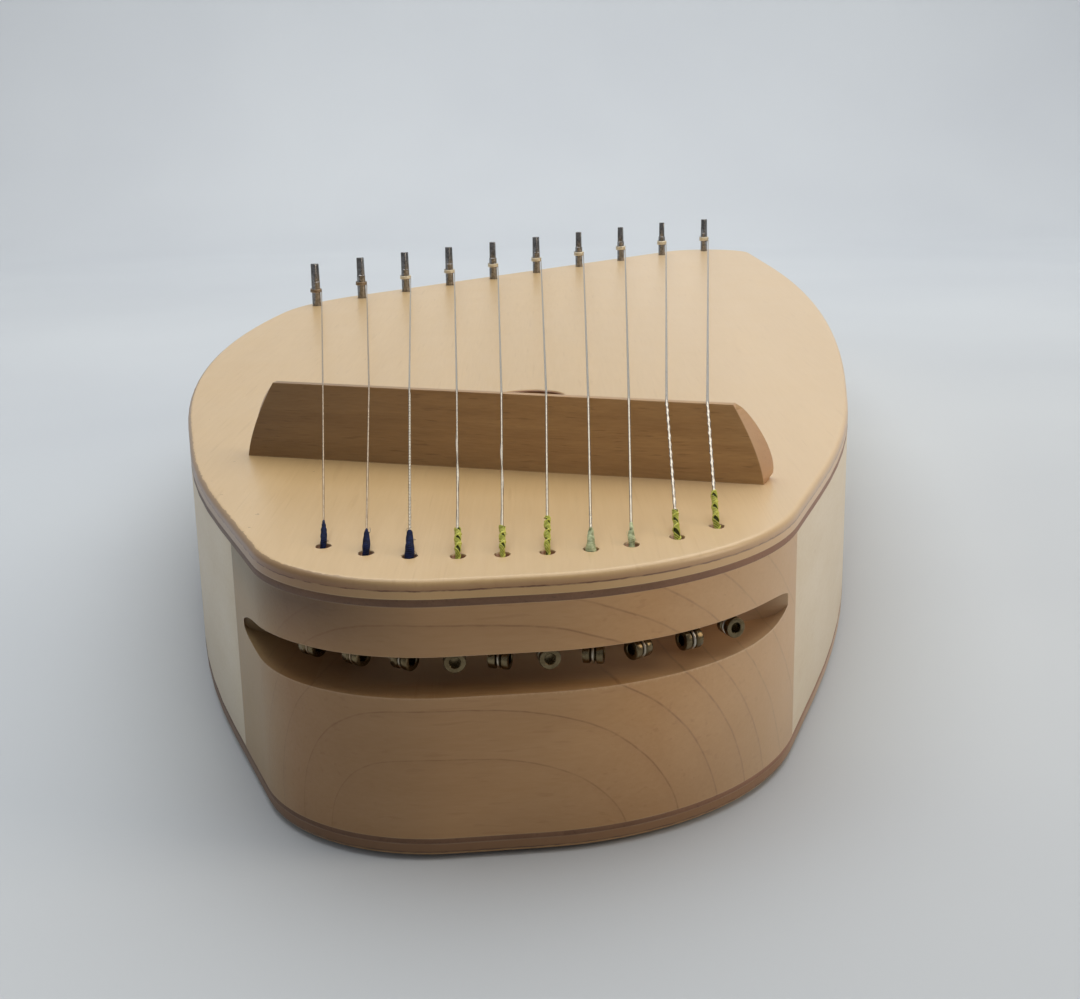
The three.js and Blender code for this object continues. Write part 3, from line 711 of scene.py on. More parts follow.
@dataclass(frozen=True)
class WoodFinish:
    """A planed and lacquered wood."""

    name: str
    pale: Colour
    dark: Colour
    pore: Colour
    direction: Direction = Direction.LENGTH
    turn: float = 0.0
    figure_width: float = 0.02
    fibre_width: float = 0.0008
    length: float = 14.0
    waviness: float = 0.3
    pores: float = 0.3
    fibre_share: float = 0.35
    roughness: float = 0.42
    gloss_spread: float = 0.12
    coat: float = 0.0
    coat_roughness: float = 0.25
    bump: float = 0.00004
    # pale edges: partly wear and partly a painted highlight
    wear_and_highlight: float = 0.15
    wear_and_highlight_colour: Colour = (0.8, 0.66, 0.5, 1.0)
    # painted light and shade along X, patch by patch
    painted_light: tuple[PaintedLight, ...] = ()

    def base(self, graph: Graph) -> tuple[NodeSocket, NodeSocket, NodeSocket, NodeSocket]:
        """Lays out the grain.

        Args:
            graph: the material's tree.

        Returns:
            The place, the colour, the fibres and the pores.
        """
        place = graph.place()
        ways = self.direction.value
        turned = graph.add("Mapping", {
            "Vector": place, "Rotation": (ways[0], ways[1], ways[2] + self.turn)},
            vector_type="POINT").outputs[0]
        grain = graph.add("Group", node_tree=EFFECTS.grain)
        graph.feed(grain, {
            "Place": turned, "Figure Width": self.figure_width, "Fibre Width": self.fibre_width,
            "Length": self.length, "Waviness": self.waviness, "Pore Share": self.pores})
        figure, fibres, pores = grain.outputs
        figure, fibres = graph.band(figure, 0.3, 0.7), graph.band(fibres, 0.3, 0.7)
        share = graph.add("Mix", {0: self.fibre_share, 2: figure, 3: fibres}, data_type="FLOAT")
        tone = graph.blend(share.outputs[0], self.pale, self.dark)
        return place, graph.blend(pores, tone, self.pore), fibres, pores

    def build(self) -> Material:
        """Makes the material."""
        material, graph, shader = start_material(self.name)
        place, tone, fibres, pores = self.base(graph)
        tone = self.decorate(graph, place, tone)
        across = graph.axes(place)[0]
        # paints light and shade along X, one patch at a time
        for light_patch in self.painted_light:
            share = graph.fade(across, (light_patch.start, light_patch.stop, light_patch.share))
            tone = graph.blend(share, tone, light_patch.tone)
        self.shade(graph, shader, place, tone, graph.minus(graph.times(fibres, 0.5), pores))
        return material

    def decorate(self, graph: Graph, place: NodeSocket, tone: NodeSocket) -> NodeSocket:
        """Adds what only this wood has; a plain one adds nothing."""
        return tone

    def shade(self, graph: Graph, shader: Node, place: NodeSocket, tone: NodeSocket,
              height: NodeSocket) -> None:
        """Feeds the shader with pale edges, partly wear and partly a painted highlight, gloss and bump.

        Args:
            graph: the material's tree.
            shader: its Principled BSDF.
            place: object coordinates.
            tone: the colour so far.
            height: the fibres, less the pores.
        """
        # the pale edges are partly wear and partly a painted highlight
        wear = graph.add("Group", {"Place": place}, node_tree=EFFECTS.edge_wear_and_highlight)
        wear_and_highlight = graph.times(wear.outputs["Mask"], self.wear_and_highlight)
        gloss = graph.add("Group", {
            "Place": place, "Base": self.roughness, "Spread": self.gloss_spread},
            node_tree=EFFECTS.handling)
        graph.feed(shader, {
            "Base Color": graph.blend(wear_and_highlight, tone, self.wear_and_highlight_colour),
            "Roughness": gloss.outputs["Roughness"], "Normal": graph.relief(height, self.bump),
            "Coat Weight": self.coat, "Coat Roughness": self.coat_roughness})


@dataclass(frozen=True)
class PlyFinish(WoodFinish):
    """Plywood: a face veneer, and the darker core with its glue line on the edge."""

    core_low: float = 0.0  # between these heights the core shows
    core_high: float = 0.002
    core: Colour = (0.4, 0.25, 0.13, 1.0)
    core_share: float = 0.9
    glue: Colour = (0.12, 0.06, 0.03, 1.0)
    glue_level: float = 0.002
    glue_width: float = 0.00012
    glue_fade: float = 2.2  # times its width
    glue_grain: float = 260.0
    ragged: float = 0.0004  # how far the layers wander up and down
    ragged_grain: float = 420.0
    rim_low: float = 0.0  # between these heights the rounded edge is browner
    rim_high: float = 0.0
    rim: Colour = (0.4, 0.22, 0.09, 1.0)
    rim_share: float = 0.0
    shaded: Fade = (-0.035, -0.06, 0.0)  # painted shade in the glue's colour on the left edge
    # painted shade on the walls of the holes: darker and redder
    hole_shade: Colour = (0.34, 0.13, 0.05, 1.0)
    hole_shade_share: float = 0.0
    bore_low: Pair = (-0.066, -0.3885)  # the corners of the area with the holes
    bore_high: Pair = (0.046, -0.15)
    bore_top: float = 0.0687
    bore_slant: Pair = (0.005, 0.443)  # where its front turns back, and how much

    def bores(self, graph: Graph, place: NodeSocket) -> NodeSocket:
        """1 on the walls of the holes in the middle of the board."""
        across, along, level = graph.axes(place)
        mask = graph.below(level, self.bore_top)
        turn, slope = self.bore_slant
        along = graph.minus(along, graph.times(graph.most(graph.minus(across, turn), 0.0), slope))
        for axis, low, high in zip((across, along), self.bore_low, self.bore_high):
            mask = graph.times(mask, graph.above(axis, low))
            mask = graph.times(mask, graph.below(axis, high))
        return mask

    def decorate(self, graph: Graph, place: NodeSocket, tone: NodeSocket) -> NodeSocket:
        """Draws the layers of the edge, by height, with painted shade on its left end and in the holes.
        """
        across, _, level = graph.axes(place)
        grain = graph.noise(graph.scaled(place, (1, 1, 0.2)), self.ragged_grain, 3.0)
        level = graph.plus(level, graph.times(graph.minus(grain, 0.5), self.ragged))
        inside = graph.times(graph.above(level, self.core_low), graph.below(level, self.core_high))
        tone = graph.blend(graph.times(inside, self.core_share), tone, self.core)
        away = graph.size(graph.minus(level, self.glue_level))
        broken = graph.band(graph.noise(place, self.glue_grain, 3.0), 0.36, 0.56, 0.45, 0.9)
        line = graph.times(graph.band(
            away, self.glue_width, self.glue_width * self.glue_fade, 1.0, 0.0), broken)
        rim = graph.times(graph.band(level, self.rim_high, self.rim_low),
                          graph.above(level, self.glue_level))
        tone = graph.blend(graph.times(rim, self.rim_share), tone, self.rim)
        # painted shade on the left edge, below the rounding
        shaded = graph.times(graph.below(level, self.rim_high), graph.fade(across, self.shaded))
        tone = graph.blend(graph.most(line, shaded), tone, self.glue)
        # painted shade in the holes
        return graph.blend(graph.times(self.bores(graph, place), self.hole_shade_share), tone, self.hole_shade)


@dataclass(frozen=True)
class BlockFinish(WoodFinish):
    """Flat-sawn maple with nested growth lines on its front."""

    front: float = TAIL
    centre: float = -0.03297
    lean: float = -0.0849
    left_stretch: float = 1.784
    rise: float = 6.117
    rise_power: float = 0.6358
    squareness: float = 3.136
    lines: tuple[Pair, ...] = (
        (0.0471, 0.34), (0.0608, 0.44), (0.0720, 0.44), (0.0810, 0.42), (0.0875, 0.38),
        (0.0945, 0.32), (0.1030, 0.28), (0.1120, 0.24), (0.1200, 0.2), (0.1290, 0.17),
        (0.1380, 0.14))
    line_width: float = 0.00032
    line_shade: float = 0.2
    line: Colour = (0.16, 0.07, 0.025, 1.0)
    wander: float = 0.0016
    depth_share: float = 0.12  # how far the lines close in, by how far behind the face
    # the colour of the painted shade: to the left, near the foot and under the board's edge
    deep: Colour = (0.06, 0.025, 0.007, 1.0)
    left: Fade = (0.015, -0.055, 0.4)  # painted shade to the left: where it deepens, and how much
    # painted shade near the foot
    low: Fade = (0.034, 0.008, 0.26)
    high: Fade = (0.05, 0.061, 0.4)  # painted shade under the board's edge, only at the left
    high_left: Fade = (-0.035, -0.06, 1.0)
    inner: Colour = (0.95, 0.8, 0.6, 1.0)  # painted light deep in the slot, on its floor, roof and back wall
    inner_share: float = 0.9
    inner_left: Pair = (-0.055, -0.041)  # where it fades in
    inner_right: Pair = (0.005, 0.03)  # and out
    inner_least: float = 0.12
    inner_levels: Pair = (0.036, 0.054)
    inner_depths: Pair = (-0.394, -0.376)
    inner_ends: Pair = (0.62, 0.9)  # shares of half the slot's length
    back_skin: float = 0.0006
    # the lip's paler colour: torn fibres, with a painted highlight that grows to the right
    lip: Colour = (0.72, 0.5, 0.29, 1.0)
    lip_share: float = 0.75
    lip_least: float = 0.12
    lip_width: float = 0.001
    lip_fuzz: float = 2.6  # times its width
    lip_fade: float = 1.9

    def decorate(self, graph: Graph, place: NodeSocket, tone: NodeSocket) -> NodeSocket:
        """Paints shade to the left, near the foot and under the board's edge, and draws the growth
        lines as levels of a skewed and squared distance.
        """
        x, y, z = graph.axes(place)
        # painted shade: darker to the left, near the foot and under the board's edge at the left
        high = graph.times(graph.fade(z, self.high), graph.fade(x, self.high_left))
        low = graph.most(graph.fade(x, self.left), graph.fade(z, self.low))
        tone = graph.blend(graph.plus(low, high), tone, self.deep)
        across = graph.minus(graph.times_plus(z, -self.lean, x), self.centre)
        skew = graph.times_plus(graph.below(across, 0.0), self.left_stretch - 1, 1.0)
        wide = graph.size(graph.times(across, skew))
        tall = graph.power(graph.most(graph.times(z, 1000.0), 0.0), self.rise_power)
        tall = graph.times(tall, self.rise / 1000)
        squared = graph.plus(graph.power(wide, self.squareness), graph.power(tall, self.squareness))
        distance = graph.power(squared, 1 / self.squareness)
        depth = graph.times(graph.minus(y, self.front), self.depth_share)
        wander = graph.times(graph.minus(graph.noise(place, 38.0, 3.0, 0.55), 0.5), self.wander)
        distance = graph.plus(graph.plus(distance, depth), wander)
        broken = graph.times(graph.band(graph.noise(place, 300.0, 3.0), 0.35, 0.6, 0.45, 1.0),
                             graph.band(x, -0.09, -0.03, 0.3, 1.0))
        for level, share in self.lines:
            line = graph.add("Group", {
                "Distance": distance, "Level": level, "Width": self.line_width,
                "Shade": self.line_shade}, node_tree=EFFECTS.growth_line)
            mask = graph.times(line.outputs[0], broken)
            tone = graph.blend(graph.times(mask, share), tone, self.line)
        return self.slot_tones(graph, place, tone)

    def slot_tones(self, graph: Graph, place: NodeSocket, tone: NodeSocket) -> NodeSocket:
        """Paints light deep in the slot, and pales the slot's ragged lower lip: torn fibres, with a
        painted highlight that grows to the right.

        Args:
            graph: the material's tree.
            place: object coordinates.
            tone: the colour so far.

        Returns:
            The colour.
        """
        slot, (x, y, z) = Slot(), graph.axes(place)
        share = graph.over(graph.minus(x, slot.centre), slot.half_span)
        away = graph.size(share)
        # painted light on the slot's inner faces, fading out towards both ends
        normal = graph.axes(graph.add("NewGeometry").outputs["True Normal"])
        level = graph.times(graph.above(graph.size(normal[2]), 0.6), graph.band(x, *self.inner_left))
        level = graph.times(level, graph.band(x, *self.inner_right, 1.0, self.inner_least))
        deep = graph.times(level, graph.band(y, *self.inner_depths))
        back = graph.below(graph.size(graph.minus(y, self.front + slot.depth)), self.back_skin)
        low, high = self.inner_levels
        height = graph.times(graph.above(z, low), graph.below(z, high))
        within = graph.times(height, graph.band(away, *self.inner_ends, 1.0, 0.0))
        inside = graph.times(graph.most(deep, back), within)
        tone = graph.blend(graph.times(inside, self.inner_share), tone, self.inner)
        rounded = graph.most(graph.minus(1.0, graph.power(away, slot.rounding)), 0.0)
        half = graph.times(graph.power(rounded, 0.5), slot.height / 2)
        bow = graph.times(share, graph.power(away, slot.droop_power - 1))
        floor = graph.plus(graph.minus(graph.times(bow, slot.droop), half),
                           Levels().top - slot.middle_drop)
        fuzz = graph.times(graph.noise(place, 1300.0, 4.0, 0.7), self.lip_width * self.lip_fuzz)
        under = graph.plus(graph.minus(floor, z), fuzz)
        lip = graph.times(graph.below(z, floor), graph.band(
            under, self.lip_width, self.lip_width * self.lip_fade, 1.0, 0.0))
        # painted highlight: stronger towards the right
        lip = graph.times(lip, graph.band(x, -0.03, 0.03, self.lip_least, self.lip_share))
        return graph.blend(graph.times(lip, graph.below(away, 1.0)), tone, self.lip)


@dataclass(frozen=True)
class BridgeFinish(WoodFinish):
    """Walnut with painted shade that darkens it towards one end, and a painted highlight on its end
    faces.
    """

    deep: Colour = (0.1, 0.05, 0.03, 1.0)
    painted_shade_reach: Fade = (-0.005, -0.1, 0.6)  # painted shade: from where, to where, how much
    end: Colour = (0.6, 0.36, 0.2, 1.0)
    ends: Fade = (0.55, 0.8, 0.75)  # painted highlight on the end faces: the same, by how far a face looks along

    def decorate(self, graph: Graph, place: NodeSocket, tone: NodeSocket) -> NodeSocket:
        """Paints shade along X and a highlight on the end faces."""
        tone = graph.blend(graph.fade(graph.axes(place)[0], self.painted_shade_reach), tone, self.deep)
        facing = graph.facing(graph.add("NewGeometry").outputs["True Normal"],
                              (math.cos(self.turn), -math.sin(self.turn), 0.0))
        return graph.blend(graph.fade(graph.size(facing), self.ends), tone, self.end)


@dataclass(frozen=True)
class MetalFinish:
    """Drawn or turned metal."""

    name: str
    base: Colour
    tarnish: Colour
    roughness: float = 0.25
    gloss_spread: float = 0.2
    tarnish_scale: float = 700.0
    tarnish_share: float = 0.5
    bump: float = 0.00001
    marks: Triple = (1.0, 1.0, 6.0)

    def build(self) -> Material:
        """Makes the material."""
        material, graph, shader = start_material(self.name)
        place = graph.place()
        spots = graph.band(graph.noise(place, self.tarnish_scale, 4.0, 0.6), 0.42, 0.62)
        lines = graph.noise(graph.scaled(place, self.marks), 2600.0, 2.0, 0.6)
        least = self.roughness - self.gloss_spread / 2
        graph.feed(shader, {
            "Base Color": graph.blend(graph.times(spots, self.tarnish_share), self.base, self.tarnish),
            "Roughness": graph.times_plus(lines, self.gloss_spread, least),
            "Normal": graph.relief(lines, self.bump), "Metallic": 1.0})
        return material


@dataclass(frozen=True)
class SilkFinish:
    """Silk thread: fine fibres, soft sheen, a little unevenness of dye, and painted shade in the
    grooves.
    """

    name: str
    base: Colour
    deep: Colour
    light: Colour
    # painted shade in the grooves between the yarns
    groove: Colour
    roughness: float = 0.7
    gloss_spread: float = 0.1
    bump: float = 0.00003
    sheen: float = 0.1
    sheen_roughness: float = 0.4
    shine: float = 0.2

    def build(self) -> Material:
        """Makes the material."""
        material, graph, shader = start_material(self.name)
        place = graph.place()
        raised = graph.add("Attribute", attribute_name="raised").outputs["Fac"]
        dye = graph.band(graph.noise(place, 900.0, 3.0), 0.35, 0.65)
        fibres = graph.noise(graph.scaled(place, (1.0, 1.0, 3.0)), 9000.0, 2.0, 0.6)
        tone = graph.blend(dye, self.deep, self.base)
        tone = graph.blend(graph.band(fibres, 0.5, 0.75, 0.0, 0.5), tone, self.light)
        graph.feed(shader, {
            # painted shade: the groove colour darkens what lies low
            "Base Color": graph.blend(graph.band(raised, 0.35, 0.95), self.groove, tone),
            "Roughness": graph.times_plus(dye, self.gloss_spread, self.roughness),
            "Normal": graph.relief(fibres, self.bump), "Sheen Weight": self.sheen,
            "Sheen Roughness": self.sheen_roughness, "Specular IOR Level": self.shine})
        return material


RECIPES = {
    "top_ply": PlyFinish(
        "birch_top", colour(219, 186, 134), colour(209, 175, 122), colour(185, 148, 97),
        figure_width=0.035, fibre_width=0.0011, length=22.0, waviness=0.5, pores=0.2,
        roughness=0.38, coat=0.25, core_low=0.0, core_high=0.0665, core=colour(202, 160, 106),
        glue=colour(98, 54, 30), glue_level=0.06655, rim_low=0.0670, rim_high=0.0689,
        rim=colour(164, 114, 72), rim_share=0.75, hole_shade_share=0.85, shaded=(-0.035, -0.06, 0.5),
        # painted light: paler towards the right
        painted_light=(PaintedLight(0.0, 0.07, 0.3, colour(248, 222, 188)),)),
    "back_ply": PlyFinish(
        "birch_back", colour(196, 156, 110), colour(180, 138, 92), colour(140, 102, 66),
        figure_width=0.035, fibre_width=0.0011, length=22.0, waviness=0.5, pores=0.25,
        roughness=0.45, core_low=0.0011, core_high=0.01, core=colour(136, 99, 66),
        glue=colour(92, 66, 44), glue_level=0.0011,
        # painted shade at the left end, painted light at the right
        painted_light=(PaintedLight(0.0, -0.06, 0.4, colour(84, 52, 30)),
                PaintedLight(0.055, 0.09, 0.85, colour(212, 184, 156)))),
    "rib": WoodFinish(
        "birch_rib", colour(229, 214, 188), colour(219, 201, 170), colour(205, 180, 143),
        figure_width=0.014, fibre_width=0.0009, length=26.0, waviness=0.4, pores=0.15,
        roughness=0.4),
    "tail_maple": BlockFinish(
        "maple_tail", colour(203, 158, 109), colour(191, 144, 92), colour(162, 112, 66),
        direction=Direction.WIDTH, figure_width=0.02, fibre_width=0.0009, length=10.0,
        waviness=0.5, pores=0.2, roughness=0.42, line=colour(104, 54, 20),
        # painted reflection near the left seam, painted light towards the right
        painted_light=(PaintedLight(-0.068, -0.082, 0.3, colour(196, 184, 142)),
                PaintedLight(0.02, 0.055, 0.33, colour(222, 204, 174)))),
    "inner_maple": WoodFinish(
        "maple_inner", colour(206, 172, 134), colour(190, 152, 112), colour(164, 122, 84),
        direction=Direction.WIDTH, roughness=0.6),
    "spruce": WoodFinish(
        "spruce_inner", colour(222, 192, 144), colour(196, 156, 104), colour(180, 136, 86),
        direction=Direction.WIDTH, figure_width=0.003, length=30.0, waviness=0.1, roughness=0.7),
    "dark_strip": WoodFinish(
        "dark_strip", colour(130, 93, 64), colour(110, 76, 50), colour(74, 48, 31),
        figure_width=0.006, fibre_width=0.0006, length=20.0, pores=0.4, roughness=0.5, wear_and_highlight=0.1,
        # painted shade to the left, painted light to the right
        painted_light=(PaintedLight(-0.01, -0.06, 0.35, colour(72, 42, 20)),
                PaintedLight(0.01, 0.06, 0.4, colour(184, 134, 104)))),
    "walnut": BridgeFinish(
        "walnut_bridge", colour(196, 155, 102), colour(170, 130, 82), colour(122, 88, 54),
        direction=Direction.WIDTH, turn=math.radians(18), figure_width=0.004, fibre_width=0.0006,
        length=9.0, waviness=0.9, pores=0.35, fibre_share=0.4, roughness=0.45, wear_and_highlight=0.5,
        # deep is the painted shade's colour; the pale worn edges are partly wear and partly a painted
        # highlight
        wear_and_highlight_colour=colour(206, 176, 138), deep=colour(80, 60, 32)),
    "pin": MetalFinish(
        "pin_dark_steel", colour(156, 154, 152), colour(72, 67, 62), 0.22, tarnish_share=0.6),
    "wire": MetalFinish("string_bright_steel", colour(196, 187, 172), colour(140, 126, 108), 0.3),
    "middle_wire": MetalFinish(
        "string_grey_steel", colour(180, 170, 152), colour(132, 119, 100), 0.32,
        tarnish_share=0.4),
    # painted highlight: the coils' steel is paler than the strings'
    "coil_wire": MetalFinish(
        "coil_steel_painted_highlight", colour(240, 230, 206), colour(206, 190, 158), 0.45,
        tarnish_share=0.3),
    "dull_wire": MetalFinish("string_dull_steel", colour(176, 156, 130), colour(120, 98, 74), 0.4),
    "ball": MetalFinish(
        "ball_nickel", colour(120, 106, 80), colour(72, 56, 34), 0.26, tarnish_scale=500.0),
    "blue_silk": SilkFinish(
        "silk_navy", colour(26, 40, 88), colour(10, 15, 38), colour(54, 74, 130),
        colour(5, 7, 16)),
    "lime_silk": SilkFinish(
        "silk_lime", colour(221, 219, 110), colour(180, 184, 66), colour(234, 232, 150),
        colour(58, 62, 12)),
    "pale_silk": SilkFinish(
        "silk_sage", colour(222, 228, 184), colour(180, 190, 144), colour(238, 242, 214),
        colour(98, 106, 64)),
}


class Finishes:
    """Every material, built once, and which string gets which."""

    dull_count: int = 2
    grey_count: int = 8
    blue_count: int = 3
    pale_numbers: tuple[int, ...] = (7, 8)

    def __init__(self) -> None:
        """Builds the materials from their recipes."""
        self.made = {name: recipe.build() for name, recipe in RECIPES.items()}

    def __getitem__(self, name: str) -> Material:
        """A material by its recipe's name."""
        return self.made[name]

    def wire_for(self, number: int) -> Material:
        """A string's steel."""
        if number <= self.dull_count:
            return self["dull_wire"]
        return self["middle_wire" if number <= self.grey_count else "wire"]

    def coil_for(self, number: int) -> Material:
        """The steel of a string's coil, paler than the string's as a painted highlight."""
        return self["dull_wire" if number <= self.dull_count else "coil_wire"]

    def silk_slot(self, number: int) -> str:
        """A string's silk, as its recipe's name."""
        if number <= self.blue_count:
            return "blue_silk"
        return "pale_silk" if number in self.pale_numbers else "lime_silk"


# The body's plan


@dataclass(frozen=True)
class Arc:
    """One rounded corner of the plan."""

    centre: Vector
    radius: float
    start: float
    sweep: float


@dataclass
class Plan:
    """The body's outline, anticlockwise from the tail's left: corners, each rounded by an arc."""

    width: float = BODY_WIDTH
    length: float = BODY_LENGTH
    corners: tuple[Triple, ...] = (
        (-0.2124, -0.5039, 0.159), (0.1422, -0.4912, 0.266), (0.3086, -0.3204, 2.386),
        (0.5042, 0.0658, 7.39), (0.4965, 0.5733, 0.114), (-0.4617, 0.1474, 0.463),
        (-0.5413, -0.0925, 2.68), (-0.3612, -0.3689, 1.669))
    back_right: int = 4
    back_left: int = 5
    turn_step: float = math.radians(3)
    longest_step: float = 0.02
    skin: float = 0.00016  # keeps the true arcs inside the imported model's many-sided ones

    def corner(self, index: int) -> Vector:
        """A corner before it is rounded."""
        across, along, _ = self.corners[index]
        return Vector((across * self.width, along * self.length, 0.0))

    @cached_property
    def arcs(self) -> list[Arc]:
        """The rounded corners; where two would meet on one side, both are made smaller."""
        count = len(self.corners)
        places = [self.corner(i) for i in range(count)]
        before = [places[i - 1] - places[i] for i in range(count)]
        after = [places[(i + 1) % count] - places[i] for i in range(count)]
        halves = [a.angle(b) / 2 for a, b in zip(before, after)]
        reaches = [corner[2] * self.width / math.tan(half)
                   for corner, half in zip(self.corners, halves)]
        room = [min(1.0, after[i].length / (reaches[i] + reaches[(i + 1) % count]))
                for i in range(count)]
        arcs = []
        for i, place in enumerate(places):
            reach = reaches[i] * min(room[i], room[i - 1])
            radius = reach * math.tan(halves[i])
            back, ahead = before[i].normalized(), after[i].normalized()
            centre = place + (back + ahead).normalized() * (radius / math.sin(halves[i]))
            spoke = place + back * reach - centre
            arcs.append(Arc(centre, radius, math.atan2(spoke.y, spoke.x), math.pi - 2 * halves[i]))
        return arcs

    def ring(self, bm: BMesh, inset: float, level: float) -> list[BMEdge]:
        """Draws the outline.

        Args:
            bm: the mesh to draw in.
            inset: how far inside the true outline.
            level: its height.

        Returns:
            Its edges.
        """
        known = set(bm.edges)
        old = set(bm.verts)
        ends = []
        for arc in self.arcs:
            reach = arc.radius - inset - self.skin
            centre = arc.centre + UP * level
            start = bm.verts.new(centre + heading_of(arc.start) * reach)
            steps = max(math.ceil(arc.sweep / self.turn_step),
                        math.ceil(arc.sweep * arc.radius / self.longest_step))
            spun = bmesh.ops.spin(
                bm, geom=[start], cent=centre, axis=UP, angle=arc.sweep, steps=steps)
            ends.append((start, verts_of(spun["geom_last"])[0]))
        for (_, last), (first, _) in zip(ends, ends[1:] + ends[:1]):
            if (last.co - first.co).length > SAME_PLACE:
                bm.edges.new((last, first))
        bmesh.ops.remove_doubles(bm, verts=[v for v in bm.verts if v not in old], dist=SAME_PLACE)
        return [edge for edge in bm.edges if edge not in known]

    def slab(self, inset: float, low: float, high: float) -> BMesh:
        """A solid of the outline between two levels."""
        bm = bmesh.new()
        edges = self.ring(bm, inset, low)
        face = faces_of(bmesh.ops.contextual_create(bm, geom=edges)["faces"])
        raise_faces(bm, face, UP * (high - low))
        close_shape(bm)
        return bm

    def hoop(self, outer: float, inner: float, low: float, high: float) -> BMesh:
        """A wall that follows the outline, between two insets and two levels."""
        bm = bmesh.new()
        edges = self.ring(bm, outer, low) + self.ring(bm, inner, low)
        flat = faces_of(bmesh.ops.bridge_loops(bm, edges=edges)["faces"])
        raise_faces(bm, flat, UP * (high - low))
        close_shape(bm)
        return bm


# The strings' lines


@dataclass(frozen=True)
class StringLine:
    """Where one string goes."""

    number: int
    hole: Vector
    ball: Vector
    root: Vector  # where the string leaves its ball end
    channel: Vector
    bend: Vector
    crossing: Vector
    touch: Vector
    pin: Vector
    radius: float
    coil_radius: float
    side_angle: float


@dataclass
class Levels:
    """Heights of the body's layers above the table."""

    top: float = 0.069
    soundboard: float = 0.0045
    back: float = 0.0033
    upper_binding: float = 0.0018
    lower_binding: float = 0.0013

    @property
    def board_underside(self) -> float:
        """The soundboard's underside."""
        return self.top - self.soundboard

    @property
    def rib_top(self) -> float:
        """The ribs' top."""
        return self.board_underside - self.upper_binding

    @property
    def rib_foot(self) -> float:
        """The ribs' foot."""
        return self.back + self.lower_binding


@dataclass
class Slot:
    """The slot across the tail block: level, with round ends."""

    depth: float = 0.047
    centre: float = -0.0443 * BODY_WIDTH
    half_span: float = 0.2344 * BODY_WIDTH
    end_share: float = 0.998
    middle_drop: float = 0.02355
    height: float = 0.0101
    rounding: int = 12
    droop: float = 0.0015
    droop_power: int = 9
    steps: int = 60

    def spot(self, share: float) -> float:
        """A place across the slot from its left end (0) to its right (1), closer near the ends."""
        return self.centre - self.half_span * self.end_share * math.cos(math.pi * share)

    def drop(self, across: float, way: int) -> float:
        """How far the roof (-1) or the floor (1) lies below the top."""
        t = (across - self.centre) / self.half_span
        half = self.height / 2 * math.sqrt(max(1 - t ** self.rounding, 0.0))
        return self.middle_drop - self.droop * t ** self.droop_power + way * half


